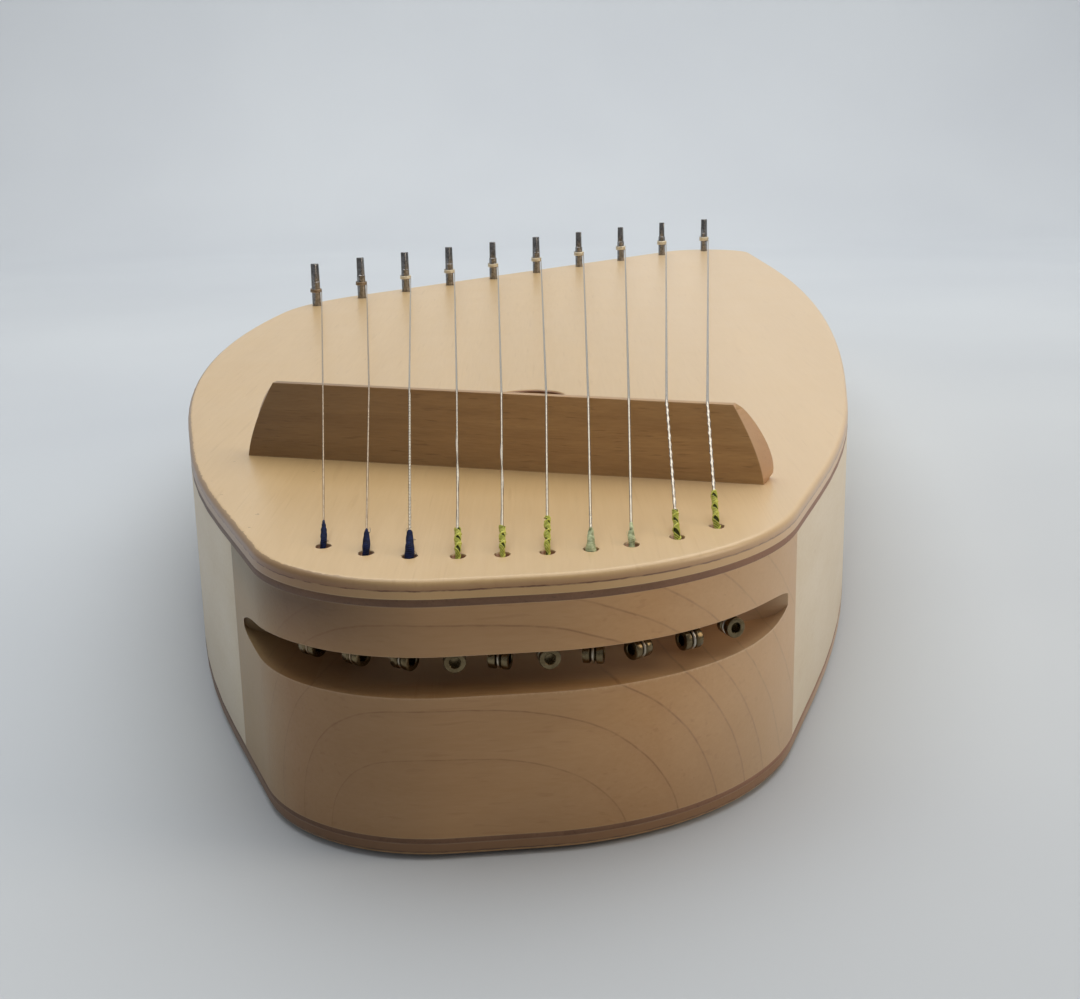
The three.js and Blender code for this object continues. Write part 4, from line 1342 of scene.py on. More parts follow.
@dataclass
class StringPlan:
    """How the ten strings run, from the ball ends in the slot to the coils on the pins."""

    plan: Plan
    levels: Levels
    slot: Slot
    count: int = 10
    thinnest: float = 0.0005
    thickest: float = 0.0008
    hole_centre: float = -0.0374
    hole_span: float = 0.3196
    hole_inset: float = 0.020
    hole_skew: float = 0.0053
    hole_bow: float = 0.0149
    hole_drifts: tuple[float, ...] = (
        -0.0004, 0.0, 0.0, 0.0008, 0.0006, 0.0006, 0.00032, -0.00048, 0.00032, 0.0004)
    bend_height: float = 0.0013
    ball_hang: float = 0.0029
    ball_forward: float = 0.0128
    ball_forward_skew: float = 0.0015
    root_rise: float = 0.0016
    ball_spread: float = 0.0026
    ball_drifts: tuple[float, ...] = (
        0.0005, 0.0001, 0.0004, 0.0, -0.0005, -0.0006, -0.001, -0.0009, -0.0004, -0.0007)
    pin_radius: float = 0.0024
    pin_setback: float = 0.0185
    pin_left_bow: float = 0.007
    pin_right_bow: float = 0.017
    pin_start: float = -0.4289
    pin_pitch: float = 0.06934
    pin_growth: float = 0.002466
    coil_rise: float = 0.0075
    coil_clearance: float = 0.0004
    bridge_place: Pair = (-0.0646 * BODY_WIDTH, TAIL + 0.1105)
    bridge_turn: float = math.radians(-18)
    bridge_height: float = 0.0233
    bridge_fall: float = 0.0011
    bridge_top_length: float = 0.1435
    bridge_edge: float = -0.003  # of the top's front edge, across the bridge
    seat: float = 0.00012  # how far a string sits in its notch
    notch_drifts: tuple[float, ...] = (
        0.00139, 0.00204, 0.00079, 0.00079, 0.00072, 0.0006, 0.0, -0.00029, -0.0024, -0.0024)

    def bridge_top(self, share: float) -> float:
        """Height of the bridge's top, from -1 at the short strings' end to 1."""
        return self.bridge_height - self.bridge_fall * (share + 1) / 2

    def line(self, index: int) -> StringLine:
        """Works out one string, from 0 for the shortest."""
        plan, top = self.plan, self.levels.top
        t = index / (self.count - 1) * 2 - 1
        hole = Vector((
            (self.hole_centre + t * self.hole_span / 2) * plan.width + self.hole_drifts[index],
            -plan.length / 2 + self.hole_inset + self.hole_skew * t + self.hole_bow * abs(t) ** 3,
            top))
        ball_x = hole.x + self.ball_spread * t + self.ball_drifts[index]
        ball = Vector((ball_x, hole.y - self.ball_forward - self.ball_forward_skew * t,
                       top - self.slot.drop(ball_x, -1) - self.ball_hang))
        root = ball + UP * self.root_rise
        pin_x = plan.width * (self.pin_start + self.pin_pitch * index + self.pin_growth * index ** 2)
        start, end = plan.corner(plan.back_left), plan.corner(plan.back_right)
        edge_y = mix(start.y, end.y, (pin_x - start.x) / (end.x - start.x))
        bow = (self.pin_left_bow if t < 0 else self.pin_right_bow) * t ** 8
        pin = Vector((pin_x, edge_y - self.pin_setback - bow, top))
        radius = mix(self.thinnest, self.thickest, index / (self.count - 1)) / 2
        coil_radius = self.pin_radius + self.coil_clearance + radius
        reach = pin - hole
        heading = math.atan2(reach.y, reach.x) - math.asin(coil_radius / reach.length)
        side = heading - math.pi / 2
        touch = pin + heading_of(side) * coil_radius + UP * self.coil_rise
        along = heading_of(self.bridge_turn)
        across = left_of(along)
        foot, middle = Vector((hole.x, hole.y, 0)), Vector((*self.bridge_place, 0))
        run = Vector((touch.x, touch.y, 0)) - foot
        share = (middle + across * self.bridge_edge - foot).dot(across) / run.dot(across)
        crossing = foot + run * share
        crossing += along * (self.notch_drifts[index] / along.x)
        spot = (crossing - middle).dot(along)
        crossing.z = top + self.bridge_top(spot / (self.bridge_top_length / 2)) + radius - self.seat
        channel = (hole - root).normalized()
        bend = hole + channel * (self.bend_height / channel.z)
        return StringLine(index + 1, hole, ball, root, channel, bend, crossing, touch, pin,
                          radius, coil_radius, side)

    @cached_property
    def lines(self) -> list[StringLine]:
        """All strings, short to long."""
        return [self.line(i) for i in range(self.count)]


# Sub-assemblies


@dataclass
class Body:
    """The box: plates, bindings, ribs, tail block and what stiffens them inside."""

    plan: Plan
    levels: Levels
    slot: Slot
    strings: StringPlan
    rib: float = 0.0035
    top_round: float = 0.0016
    back_round: float = 0.0015
    edge_break: float = 0.00018
    round_steps: int = 6
    block_depth: float = 0.055
    tenon_depth: float = 0.012
    gap: float = 0.0003
    hole_radius: float = 0.00187
    mouth_break: float = 0.0001
    pin_break: float = 0.00018
    pin_clearance: float = 0.00035
    sound_hole: Pair = (-0.033 * BODY_WIDTH, TAIL + 0.2214)
    sound_hole_radius: float = 0.013
    sound_hole_break: float = 0.0006
    hole_sides: int = 32
    sound_hole_sides: int = 96
    flat_inset: float = 0.0006

    @property
    def seam(self) -> float:
        """Where tail block and ribs meet, along the body."""
        return -self.plan.length / 2 + self.block_depth

    def drill(self, foot: Vector, head: Vector, radius: float, mouth: Vector | None, flare: float,
              sides: int) -> BMesh:
        """A round cutter, flared where it leaves the wood.

        Args:
            foot: its lower end.
            head: its upper end.
            radius: its radius.
            mouth: where it meets the surface, or None for no flare.
            flare: how much wider the mouth is.
            sides: the number of its sides.

        Returns:
            The closed mesh, in place.
        """
        reach = (head - foot).length
        profile = [(0.0, 0.0), (radius, 0.0)]
        if mouth is not None:
            level = (mouth - foot).length
            wide = radius + flare * 2
            profile += [(radius, level - flare), (wide, level + flare), (wide, reach)]
        else:
            profile.append((radius, reach))
        profile.append((0.0, reach))
        bm = turned_shape(profile, sides)
        lean = UP.rotation_difference(head - foot).to_matrix().to_4x4()
        put(bm, Matrix.Translation(foot) @ lean)
        return bm

    def channels(self, mouth: bool) -> list[BMesh]:
        """The strings' slanted channels, with broken mouths on the top if asked for."""
        return [self.drill(line.root, line.hole + line.channel * OVERRUN, self.hole_radius,
                           line.hole if mouth else None, self.mouth_break, self.hole_sides)
                for line in self.strings.lines]

    def plate(self, low: float, high: float, way: int, width: float) -> BMesh:
        """A plate with one rounded rim, and a ring that keeps the shading of its flat face flat.

        Args:
            low: its lower level.
            high: its upper level.
            way: 1 for a round upper rim, -1 for a lower one.
            width: how far the rounding reaches.

        Returns:
            The closed mesh.
        """
        bm = self.plan.slab(0, low, high)
        soften(bm, rim_edges(bm, high if way > 0 else low, way), width, self.round_steps)
        bm.normal_update()
        flat = max(bm.faces, key=lambda face: (
            way * face.calc_center_median().z * 1000 + face.calc_area()))
        bmesh.ops.inset_region(bm, faces=[flat], thickness=self.flat_inset, use_even_offset=True)
        return bm

    def soundboard(self, finish: Material) -> Object:
        """The top plate, with its round edge, sound hole, string holes and pin holes."""
        levels = self.levels
        piece = object_from("soundboard_plate", self.plate(
            levels.board_underside, levels.top, 1, self.top_round))
        centre = Vector((*self.sound_hole, 0))
        shapes = [self.drill(
            centre + UP * (levels.board_underside - OVERRUN), centre + UP * (levels.top + OVERRUN),
            self.sound_hole_radius, centre + UP * levels.top, self.sound_hole_break,
            self.sound_hole_sides)]
        shapes += self.channels(mouth=True)
        shapes += [self.drill(
            line.pin - UP * (levels.soundboard + OVERRUN), line.pin + UP * OVERRUN,
            self.strings.pin_radius + self.pin_clearance, line.pin, self.pin_break,
            self.hole_sides) for line in self.strings.lines]
        carve(piece, [join_meshes(shapes)])
        return finish_piece(piece, finish, BOX_BODY, ["soundboard"])

    def back_plate(self, finish: Material) -> Object:
        """The bottom plate, round along its lower edge."""
        bm = self.plate(0.0, self.levels.back, -1, self.back_round)
        return finish_piece(
            object_from("bottom_plate", bm), finish, BOX_BODY, ["back_plate"])

    def binding(self, name: str, node: str, low: float, high: float, finish: Material) -> Object:
        """A dark strip round the body, with its outer edges just broken."""
        bm = self.plan.hoop(0, self.rib, low, high)
        soften(bm, rim_edges(bm, high, 1) + rim_edges(bm, low, -1), self.edge_break / 2, 2)
        return finish_piece(object_from(name, bm), finish, BOX_BODY, [node])

    def side_rib(self, left: bool, finish: Material) -> Object:
        """A bent rib, from the tail block's seam round to the butt joint in the back edge.

        Args:
            left: the rib of the short side.
            finish: its material.

        Returns:
            The rib.
        """
        bm = self.plan.hoop(0, self.rib, self.levels.rib_foot, self.levels.rib_top)
        keep_behind(bm, Vector((0, self.seam + self.gap / 3, 0)), Vector((0, -1, 0)))
        way = 1 if left else -1
        keep_behind(bm, Vector((self.slot.centre - way * self.gap / 4, 0, 0)), Vector((way, 0, 0)))
        bm.normal_update()
        sharp = [edge for edge in bm.edges
                 if len(edge.link_faces) == 2 and edge.calc_face_angle() > math.radians(60)]
        soften(bm, sharp, self.edge_break, 2)
        side = "left" if left else "right"
        return finish_piece(object_from("rib_" + side, bm), finish, BOX_BODY,
                            ["side_rib_" + side])

    def slot_cutter(self) -> BMesh:
        """The slot's outline, drawn as two lines and cut straight back."""
        slot, top = self.slot, self.levels.top
        front = -self.plan.length / 2 - OVERRUN * 3
        left, right = Vector((0, front, 0)), Vector((1, front, 0))

        def line(way: int) -> BMesh:
            def move(spot: Vector) -> Vector:
                across = slot.spot(spot.x)
                return Vector((across, spot.y, top - slot.drop(across, way)))
            return bowed_line(left, right, slot.steps, move)

        bm = fill_between(line(-1), line(1))
        raise_faces(bm, bm.faces[:], Vector((0, slot.depth + OVERRUN * 3, 0)))
        close_shape(bm)
        return bm

    def tail_block(self, finish: Material) -> Object:
        """The solid block at the tail, with its tenon, the slot and the channels into it."""
        levels = self.levels
        bm = self.plan.slab(0, levels.rib_foot, levels.rib_top)
        keep_behind(bm, Vector((0, self.seam, 0)), Vector((0, 1, 0)))
        tenon = self.plan.slab(self.rib + self.gap, levels.back, levels.board_underside)
        keep_behind(tenon, Vector((0, self.seam + self.tenon_depth, 0)), Vector((0, 1, 0)))
        keep_behind(tenon, Vector((0, self.seam, 0)), Vector((0, -1, 0)))
        piece = object_from("tail_block_slotted", join_meshes([bm, tenon]))
        carve(piece, [self.slot_cutter(), join_meshes(self.channels(mouth=False))])
        return finish_piece(piece, finish, BOX_BODY, ["tail_block"])

    def dress_inside(self, block: Material, spruce: Material) -> None:
        """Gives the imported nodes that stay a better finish.

        Args:
            block: for the pin block.
            spruce: for linings and braces.
        """
        for name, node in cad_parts.items():
            if name.startswith(("upper_lining", "lower_lining", "soundboard_brace", "back_brace")):
                node.data.materials[0] = spruce
            elif name == "pin_block":
                node.data.materials[0] = block

    def build(self, finishes: Finishes) -> None:
        """Makes all of the body's pieces."""
        levels = self.levels
        self.soundboard(finishes["top_ply"])
        self.binding("dark_strip_upper", "upper_binding", levels.rib_top, levels.board_underside,
                     finishes["dark_strip"])
        self.side_rib(True, finishes["rib"])
        self.side_rib(False, finishes["rib"])
        self.tail_block(finishes["tail_maple"])
        self.binding("dark_strip_lower", "lower_binding", levels.back, levels.rib_foot,
                     finishes["dark_strip"])
        self.back_plate(finishes["back_ply"])
        self.dress_inside(finishes["inner_maple"], finishes["spruce"])


@dataclass
class Bridge:
    """The walnut bridge: curved ends that flare to the rear, leaning faces and the strings' notches."""

    strings: StringPlan
    length: float = 0.162
    end_power: float = 1.45
    rear_flare: float = 0.0028
    foot: float = 0.009
    top: float = 0.003
    front_lean: float = 0.0015
    steps: int = 14
    edge_round: float = 0.0006
    sharp: float = math.radians(40)  # edges sharper than this are rounded, but for the foot's
    foot_level: float = 0.0001
    notch_front: float = 0.004  # how far a notch reaches past the string's crossing
    notch_back: float = 0.008
    notch_bend: float = 0.0006
    notch_clearance: float = 0.00004

    def blank(self) -> BMesh:
        """The bridge's elevation, extruded and leaned."""
        height = self.strings.bridge_height
        half, top_half = self.length / 2, self.strings.bridge_top_length / 2

        def side(way: int) -> BMesh:
            return bowed_line(
                Vector((way * half, 0, 0)), Vector((way * top_half, 0, height)), self.steps,
                lambda spot: Vector((
                    way * mix(half, top_half, (spot.z / height) ** self.end_power), 0, spot.z)))

        bm = fill_between(side(-1), side(1))
        raise_faces(bm, bm.faces[:], Vector((0, 1, 0)))
        rear_lean = self.foot - self.top - self.front_lean

        def lean(spot: Vector) -> Vector:
            rise = min(max(spot.z / height, 0.0), 1.0)
            level = rise * self.strings.bridge_top(spot.x / top_half)
            if spot.y < 0.5:
                return Vector((spot.x, -self.foot / 2 + self.front_lean * rise, level))
            flare = self.rear_flare * math.sqrt(4 * rise * (1 - rise))
            return Vector((spot.x + math.copysign(flare, spot.x),
                           self.foot / 2 - rear_lean * rise, level))

        reshape(bm, lean)
        close_shape(bm)
        return bm

    def build(self, finish: Material) -> None:
        """Makes the bridge, notched for its strings."""
        strings = self.strings
        bm = self.blank()
        bm.normal_update()
        sharp = [edge for edge in bm.edges if edge.calc_face_angle() > self.sharp
                 and min(vert.co.z for vert in edge.verts) > self.foot_level]
        soften(bm, sharp, self.edge_round, 4)
        place = Matrix.Translation((*strings.bridge_place, strings.levels.top))
        turn = Matrix.Rotation(strings.bridge_turn, 4, "Z")
        put(bm, place @ turn)
        piece = object_from("bridge_walnut", bm)
        notches = []
        for line in strings.lines:
            ahead = (line.touch - line.crossing).normalized()
            back = (line.bend - line.crossing).normalized()
            route = Route([line.crossing + back * self.notch_front, line.crossing,
                           line.crossing + ahead * self.notch_back], self.notch_bend, 4)
            notches.append(route.tube(line.radius + self.notch_clearance, 14))
        carve(piece, [join_meshes(notches)])
        finish_piece(piece, finish, BOX_BODY, ["bridge"])


class WrapStyle(Enum):
    """How a string's silk is wound; the value is how lumpy it is."""

    TAPERED = 0.00012
    CROSSED = 0.00007
    BULB = 0.00025


@dataclass(frozen=True)
class Wrap:
    """One string's silk: its style, its share of the longest and its radius from foot to tip."""

    style: WrapStyle
    share: float
    radii: tuple[float, ...]


WRAPS = (
    Wrap(WrapStyle.TAPERED, 0.74, (0.00085, 0.00082, 0.00080, 0.00070, 0.00052, 0.00030)),
    Wrap(WrapStyle.TAPERED, 0.67, (0.00086, 0.00098, 0.00092, 0.00080, 0.00064, 0.00032)),
    Wrap(WrapStyle.TAPERED, 0.70, (0.00122, 0.00115, 0.00102, 0.00092, 0.00086, 0.00064)),
    Wrap(WrapStyle.CROSSED, 0.78, (0.00066, 0.00076, 0.00085, 0.00085, 0.00085, 0.0008)),
    Wrap(WrapStyle.CROSSED, 0.78, (0.00064, 0.00074, 0.00082, 0.00080, 0.00082, 0.0008)),
    Wrap(WrapStyle.CROSSED, 1.00, (0.00064, 0.00076, 0.00082, 0.00080, 0.00080, 0.00085)),
    Wrap(WrapStyle.BULB, 0.50, (0.00140, 0.00102, 0.00094, 0.00088, 0.00076, 0.00052)),
    Wrap(WrapStyle.BULB, 0.51, (0.00082, 0.00090, 0.00088, 0.00064, 0.00046, 0.00034)),
    Wrap(WrapStyle.CROSSED, 0.67, (0.00090, 0.00090, 0.00078, 0.00076, 0.00084, 0.00085)),
    Wrap(WrapStyle.CROSSED, 0.86, (0.00090, 0.00088, 0.00084, 0.00084, 0.00086, 0.0008)),
)


@dataclass(frozen=True)
class Twist:
    """How a string's end is twisted back round it, past its silk."""

    reach: float  # a share of the way from the silk to the bridge
    pitch: float = 0.0088
    strands: int = 2
    thickness: float = 0.5  # a share of the string's radius
    offset: float = 0.75  # the same, from the string's middle to the strand's
    knot: float = 0.0


PLAIN = Twist(0.0)
TWISTS = (
    PLAIN, PLAIN, Twist(0.96, 0.0036, 2, 0.5, 0.95), Twist(0.7, 0.045, 1, 0.6, 0.9),
    Twist(0.62, 0.038, 1, 0.6, 0.9), PLAIN, Twist(0.09, 0.004, 1, 0.5, 0.7, 0.00045), PLAIN,
    Twist(0.97), Twist(0.97))


@dataclass
class StringSet:
    """The strings with their twisted ends, ball ends and silk."""

    strings: StringPlan
    sides: int = 12
    bend_radius: float = 0.0025
    end_gap: float = 0.00025
    ball_radius: float = 0.0026
    ball_length: float = 0.005
    ball_waist: float = 0.0019
    ball_bore: float = 0.0013
    ball_flange: float = 0.0017
    ball_lip: float = 0.00015
    ball_sides: int = 48
    ball_turns: tuple[float, ...] = (50, 50, 55, 5, 75, 10, 80, 130, 120, 25)
    longest_wrap: float = 0.0134
    wrap_gap: float = 0.0024
    thread: float = 0.00019
    yarn: float = 0.00026
    yarns: int = 5
    yarn_spread: float = 0.15  # of a turn, from yarn to yarn
    core_skin: float = 0.00006
    yarn_pitch: float = 0.0046
    hidden_end: float = 0.004  # how deep in the channel the winding starts
    overlap: float = 0.002  # how far a twist starts inside the silk
    unevenness: float = 0.00008
    lump_pitch: float = 620.0
    cross_yarn: float = 0.0003
    cross_rise: float = 0.0001
    fibres: tuple[int, ...] = (1, 4, 7, 0, 1, 0, 2, 3, 0, 0)
    fibre: float = 0.00004
    fibre_end: float = 0.0008  # how far below the silk's tip the last may start
    fibre_side: float = 0.0006
    fibre_stand: Pair = (0.0004, 0.0008)
    fibre_rise: Pair = (-0.0005, 0.0007)
    fibre_bend: float = 0.0003
    core_blank: float = 0.0005  # radii of the straight shapes before they take the silk's form
    strand_blank: float = 0.001
    core_depth: float = 0.8  # how far the core lies below the silk, in threads
    crossed_depth: float = 1.7  # or in yarns
    thread_pitch: float = 2.1
    core_steps: int = 30
    silk_sides: int = 16
    unevenness_pitch: float = 900.0

    def route(self, line: StringLine) -> Route:
        """The string's line, from its loop to its coil."""
        back = (line.crossing - line.touch).normalized()
        return Route([line.root, line.bend, line.crossing, line.touch + back * self.end_gap],
                     self.bend_radius)

    def wrap_tip(self, line: StringLine) -> Vector:
        """Where a string's silk ends."""
        ahead = (line.crossing - line.bend).normalized()
        return line.bend + ahead * (self.longest_wrap * WRAPS[line.number - 1].share)

    def twist(self, line: StringLine, spec: Twist, route: Route) -> list[BMesh]:
        """The string's end, wound back round it.

        Args:
            line: the string.
            spec: how it is twisted.
            route: the string's line.

        Returns:
            The strands, in place, and the knot at their end if there is one.
        """
        tip = self.wrap_tip(line)
        start = (line.bend - line.root).length + (tip - line.bend).length - self.overlap
        length = (line.crossing - tip).length * spec.reach + self.overlap
        parts = []
        for number in range(spec.strands if spec.reach else 0):
            strand = wound_strand(line.radius * spec.thickness, line.radius * spec.offset,
                                  spec.pitch, length / spec.pitch, 24, 8)
            turn = Matrix.Rotation(FULL_TURN * number / spec.strands, 4, "Z")
            parts.append(mirrored(strand, Matrix.Translation((0, 0, start)) @ turn))
        if spec.knot:
            knot = bmesh.new()
            bmesh.ops.create_icosphere(knot, subdivisions=2, radius=spec.knot)
            put(knot, UP * (start + length))
            parts.append(knot)
        for part in parts:
            reshape(part, route.place)
        return parts

    def wire(self, line: StringLine, finish: Material) -> None:
        """The string itself: its loop, the wire, and its end twisted back round it."""
        route = self.route(line)
        rod = route.tube(line.radius, self.sides)
        loop = turned_shape([
            (self.ball_waist + line.radius * (1 + math.cos(step / self.sides * FULL_TURN)),
             line.radius * math.sin(step / self.sides * FULL_TURN))
            for step in range(self.sides)], self.ball_sides)
        put(loop, self.ball_pose(line))
        twist = self.twist(line, TWISTS[line.number - 1], route)
        piece = object_from(f"wire_{line.number}", join_meshes([rod, loop, *twist]))
        finish_piece(piece, finish, BOX_BODY, [f"string_{line.number}"],
                     ROUND_ANGLE)

    def ball_pose(self, line: StringLine) -> Matrix:
        """Lays a shape turned about Z down as the ball end lies in the slot."""
        turn = Quaternion(UP, math.radians(self.ball_turns[line.number - 1]))
        lie = Quaternion((1, 0, 0), math.pi / 2)
        return Matrix.Translation(line.ball) @ (turn @ lie).to_matrix().to_4x4()

    def ball_end(self, line: StringLine, finish: Material) -> None:
        """The turned spool that holds the string's loop in the slot; a disc closes its bore."""
        half, lip = self.ball_length / 2, self.ball_lip
        groove, slope = half - self.ball_flange, (self.ball_radius - self.ball_waist) / 2
        upper = [
            (self.ball_waist, groove - slope), (self.ball_radius - lip, groove),
            (self.ball_radius, groove + lip), (self.ball_radius, half - lip * 2),
            (self.ball_radius - lip * 0.6, half - lip * 0.6), (self.ball_radius - lip * 2, half),
            (self.ball_bore + lip, half), (self.ball_bore, half - lip)]
        profile = [(radius, -level) for radius, level in reversed(upper)] + upper
        stop, reach = lip * 1.4, self.ball_bore + lip * 0.6
        disc = turned_shape([(0.0, -stop), (reach, -stop), (reach, stop), (0.0, stop)],
                            self.ball_sides)
        bm = join_meshes([turned_shape(profile, self.ball_sides), disc])
        put(bm, self.ball_pose(line))
        piece = object_from(f"ball_end_{line.number}", bm)
        finish_piece(piece, finish, BOX_BODY, [f"string_{line.number}"])

    def loose_fibres(self, line: StringLine, low: float, high: float,
                     radius_at: Callable[[float], float]) -> list[BMesh]:
        """A few stray fibres that stand off the silk.

        Args:
            line: the string.
            low: where the silk leaves its hole.
            high: where it ends.
            radius_at: the silk's radius at a level.

        Returns:
            The fibres, along Z.
        """
        chance, parts = random.Random(line.number), []
        for _ in range(self.fibres[line.number - 1]):
            level = chance.uniform(low, high - self.fibre_end)
            angle = chance.uniform(0, FULL_TURN)
            out = heading_of(angle)
            side = left_of(out) * chance.uniform(-self.fibre_side, self.fibre_side)
            foot = out * (radius_at(level) * 0.8) + UP * level
            stand = out * chance.uniform(*self.fibre_stand)
            rise = UP * chance.uniform(*self.fibre_rise)
            points = [foot, foot + stand, foot + stand + side + rise, foot + side * 1.8 + rise * 2]
            parts.append(Route(points, self.fibre_bend, 4).tube(self.fibre, 5))
        return parts

    def silk(self, line: StringLine, wrap: Wrap, finish: Material) -> None:
        """One string's silk, wound in its style over a core that hides the wire.

        Args:
            line: the string.
            wrap: its winding.
            finish: its material.
        """
        start = line.root + line.channel * self.wrap_gap
        route = Route([start, line.bend, self.wrap_tip(line)], self.bend_radius)
        mouth, count = (line.hole - start).length, len(wrap.radii) - 1
        length, first = route.length, mouth - self.hidden_end
        crossed = wrap.style is WrapStyle.CROSSED
        thick = self.yarn if crossed else self.thread
        least = line.radius + self.core_skin

        def radius_at(level: float) -> float:
            share = min(max((level - mouth) / (length - mouth), 0.0), 0.9999) * count
            i = int(share)
            even = mix(wrap.radii[i], wrap.radii[i + 1], share - i)
            spot = (level * self.unevenness_pitch, line.number * 7.0, 0.0)
            return even + self.unevenness * noise.noise(spot)

        def on_core(base: float, inside: float) -> Callable[[Vector], Vector]:
            def move(spot: Vector) -> Vector:
                out = Vector((spot.x, spot.y, 0))
                lump = wrap.style.value * noise.noise(spot * self.lump_pitch + UP * line.number)
                wanted = radius_at(spot.z) - inside + (out.length - base) + lump
                return Vector((0, 0, spot.z)) + out.normalized() * max(wanted, least)
            return move

        levels = [mix(first, length, step / self.core_steps) for step in range(self.core_steps + 1)]
        core = turned_shape([(0.0, 0.0), *((self.core_blank, level) for level in [0.0, *levels]),
                             (0.0, length)], self.silk_sides)
        wrapped = on_core(self.core_blank, thick * (self.crossed_depth if crossed else self.core_depth))
        reshape(core, lambda spot: spot if spot.x == 0 and spot.y == 0 else wrapped(spot))
        parts = [core]
        pitch = self.yarn_pitch if crossed else thick * self.thread_pitch

        def strand(radius: float) -> BMesh:
            return wound_strand(radius, self.strand_blank, pitch, (length - first) / pitch,
                                self.silk_sides, 8)

        for number in range(self.yarns if crossed else 1):
            turn = Matrix.Rotation(number * self.yarn_spread * FULL_TURN + line.number, 4, "Z")
            part = mirrored(strand(thick), Matrix.Translation((0, 0, first)) @ turn)
            reshape(part, on_core(self.strand_blank, thick))
            parts.append(part)
        if crossed:
            part = strand(self.cross_yarn)
            put(part, UP * first)
            reshape(part, on_core(self.strand_blank, thick - self.cross_rise))
            parts.append(part)
        parts += self.loose_fibres(line, mouth, length, radius_at)
        whole = join_meshes(parts)
        # how high each vertex stands, for the painted shade in the grooves
        raised = whole.verts.layers.float.new("raised")
        for vert in whole.verts:
            out = math.hypot(vert.co.x, vert.co.y)
            vert[raised] = 1 + (out - radius_at(vert.co.z)) / (thick * self.crossed_depth)
        reshape(whole, route.place)
        finish_piece(object_from(f"silk_{line.number}", whole), finish, BOX_BODY,
                     [f"silk_wrap_{line.number}"], ROUND_ANGLE)

    def build(self, finishes: Finishes) -> None:
        """Makes every string's pieces."""
        for line, wrap in zip(self.strings.lines, WRAPS):
            self.wire(line, finishes.wire_for(line.number))
            self.ball_end(line, finishes["ball"])
            slot = finishes.silk_slot(line.number)
            self.silk(line, wrap, finishes[slot])


@dataclass
class PinSet:
    """The tuning pins with the strings' coils on them."""

    strings: StringPlan
    rise: float = 0.0235
    seat: float = 0.027
    head: float = 0.010
    head_width: float = 1.15  # corner to corner, a share of the shank's, before rounding
    head_top: float = 0.94
    head_turns: tuple[float, ...] = (4, 28, 12, 2, 38, 8, 34, 30, 40, 6)
    chamfer: float = 0.0006
    coil_turns: float = 3.0
    pitch_share: float = 1.1
    sides: int = 40
    flat_round: float = 0.0009
    edge_round: float = 0.0003
    socket: float = 0.001  # how far the head reaches down into the shank
    tail_ahead: Pair = (0.0014, 0.0016)
    tail_across: Pair = (0.0004, 0.0030)
    tail_rise: float = 0.0003
    tail_bend: float = 0.0009

    def shape(self, turn: float) -> BMesh:
        """One pin at the origin: a round shank with a square tapered head, turned by so much."""
        radius, top = self.strings.pin_radius, self.rise
        neck = top - self.head
        shank = turned_shape([
            (0.0, -self.seat), (radius - self.chamfer, -self.seat),
            (radius, self.chamfer - self.seat), (radius, neck - self.edge_round),
            (radius - self.edge_round, neck), (0.0, neck)], self.sides)
        head, depth = bmesh.new(), self.head + self.socket
        bmesh.ops.create_cone(
            head, cap_ends=True, segments=4, radius1=radius * self.head_width,
            radius2=radius * self.head_width * self.head_top, depth=depth,
            matrix=Matrix.Rotation(turn, 4, "Z"))
        put(head, UP * (neck - self.socket + depth / 2))
        head.normal_update()
        upright = [edge for edge in head.edges
                   if abs(edge.verts[0].co.z - edge.verts[1].co.z) > self.head / 2]
        soften(head, upright, self.flat_round, 3)
        head.normal_update()
        soften(head, rim_edges(head, top, 1), self.edge_round, 3)
        close_shape(head)
        piece = object_from("pin_pattern", shank)
        carve(piece, [head], "UNION")
        bm = bmesh.new()
        bm.from_mesh(piece.data)
        bpy.data.objects.remove(piece)
        return bm

    def coil(self, line: StringLine, finish: Material) -> None:
        """The string's turns on its pin, with the end turned into the pin."""
        pitch = line.radius * 2 * self.pitch_share
        bm = wound_strand(line.radius, line.coil_radius, pitch, self.coil_turns, 36, 12)
        place = Matrix.Translation(line.pin + UP * self.strings.coil_rise)
        turn = Matrix.Rotation(line.side_angle, 4, "Z")
        put(bm, place @ turn)
        out = heading_of(line.side_angle + self.coil_turns * FULL_TURN)
        ahead = left_of(out)
        level = line.pin + UP * (self.strings.coil_rise + pitch * self.coil_turns)
        start = level + out * line.coil_radius
        near, far = self.tail_ahead
        past, end = self.tail_across
        tail = Route([start, start + ahead * near, level + ahead * far - out * past,
                      level - out * end + UP * self.tail_rise], self.tail_bend, 8)
        parts = join_meshes([bm, tail.tube(line.radius, 12)])
        finish_piece(object_from(f"coil_{line.number}", parts), finish,
                     f"pin_{line.number}", [f"string_coil_{line.number}"], ROUND_ANGLE)

    def build(self, finishes: Finishes) -> None:
        """Makes every pin and its coil."""
        for line, degrees in zip(self.strings.lines, self.head_turns):
            bm = self.shape(math.radians(degrees))
            put(bm, line.pin)
            finish_piece(object_from(f"pin_steel_{line.number}", bm), finishes["pin"],
                         f"pin_{line.number}", [f"tuning_pin_{line.number}"])
            self.coil(line, finishes.coil_for(line.number))


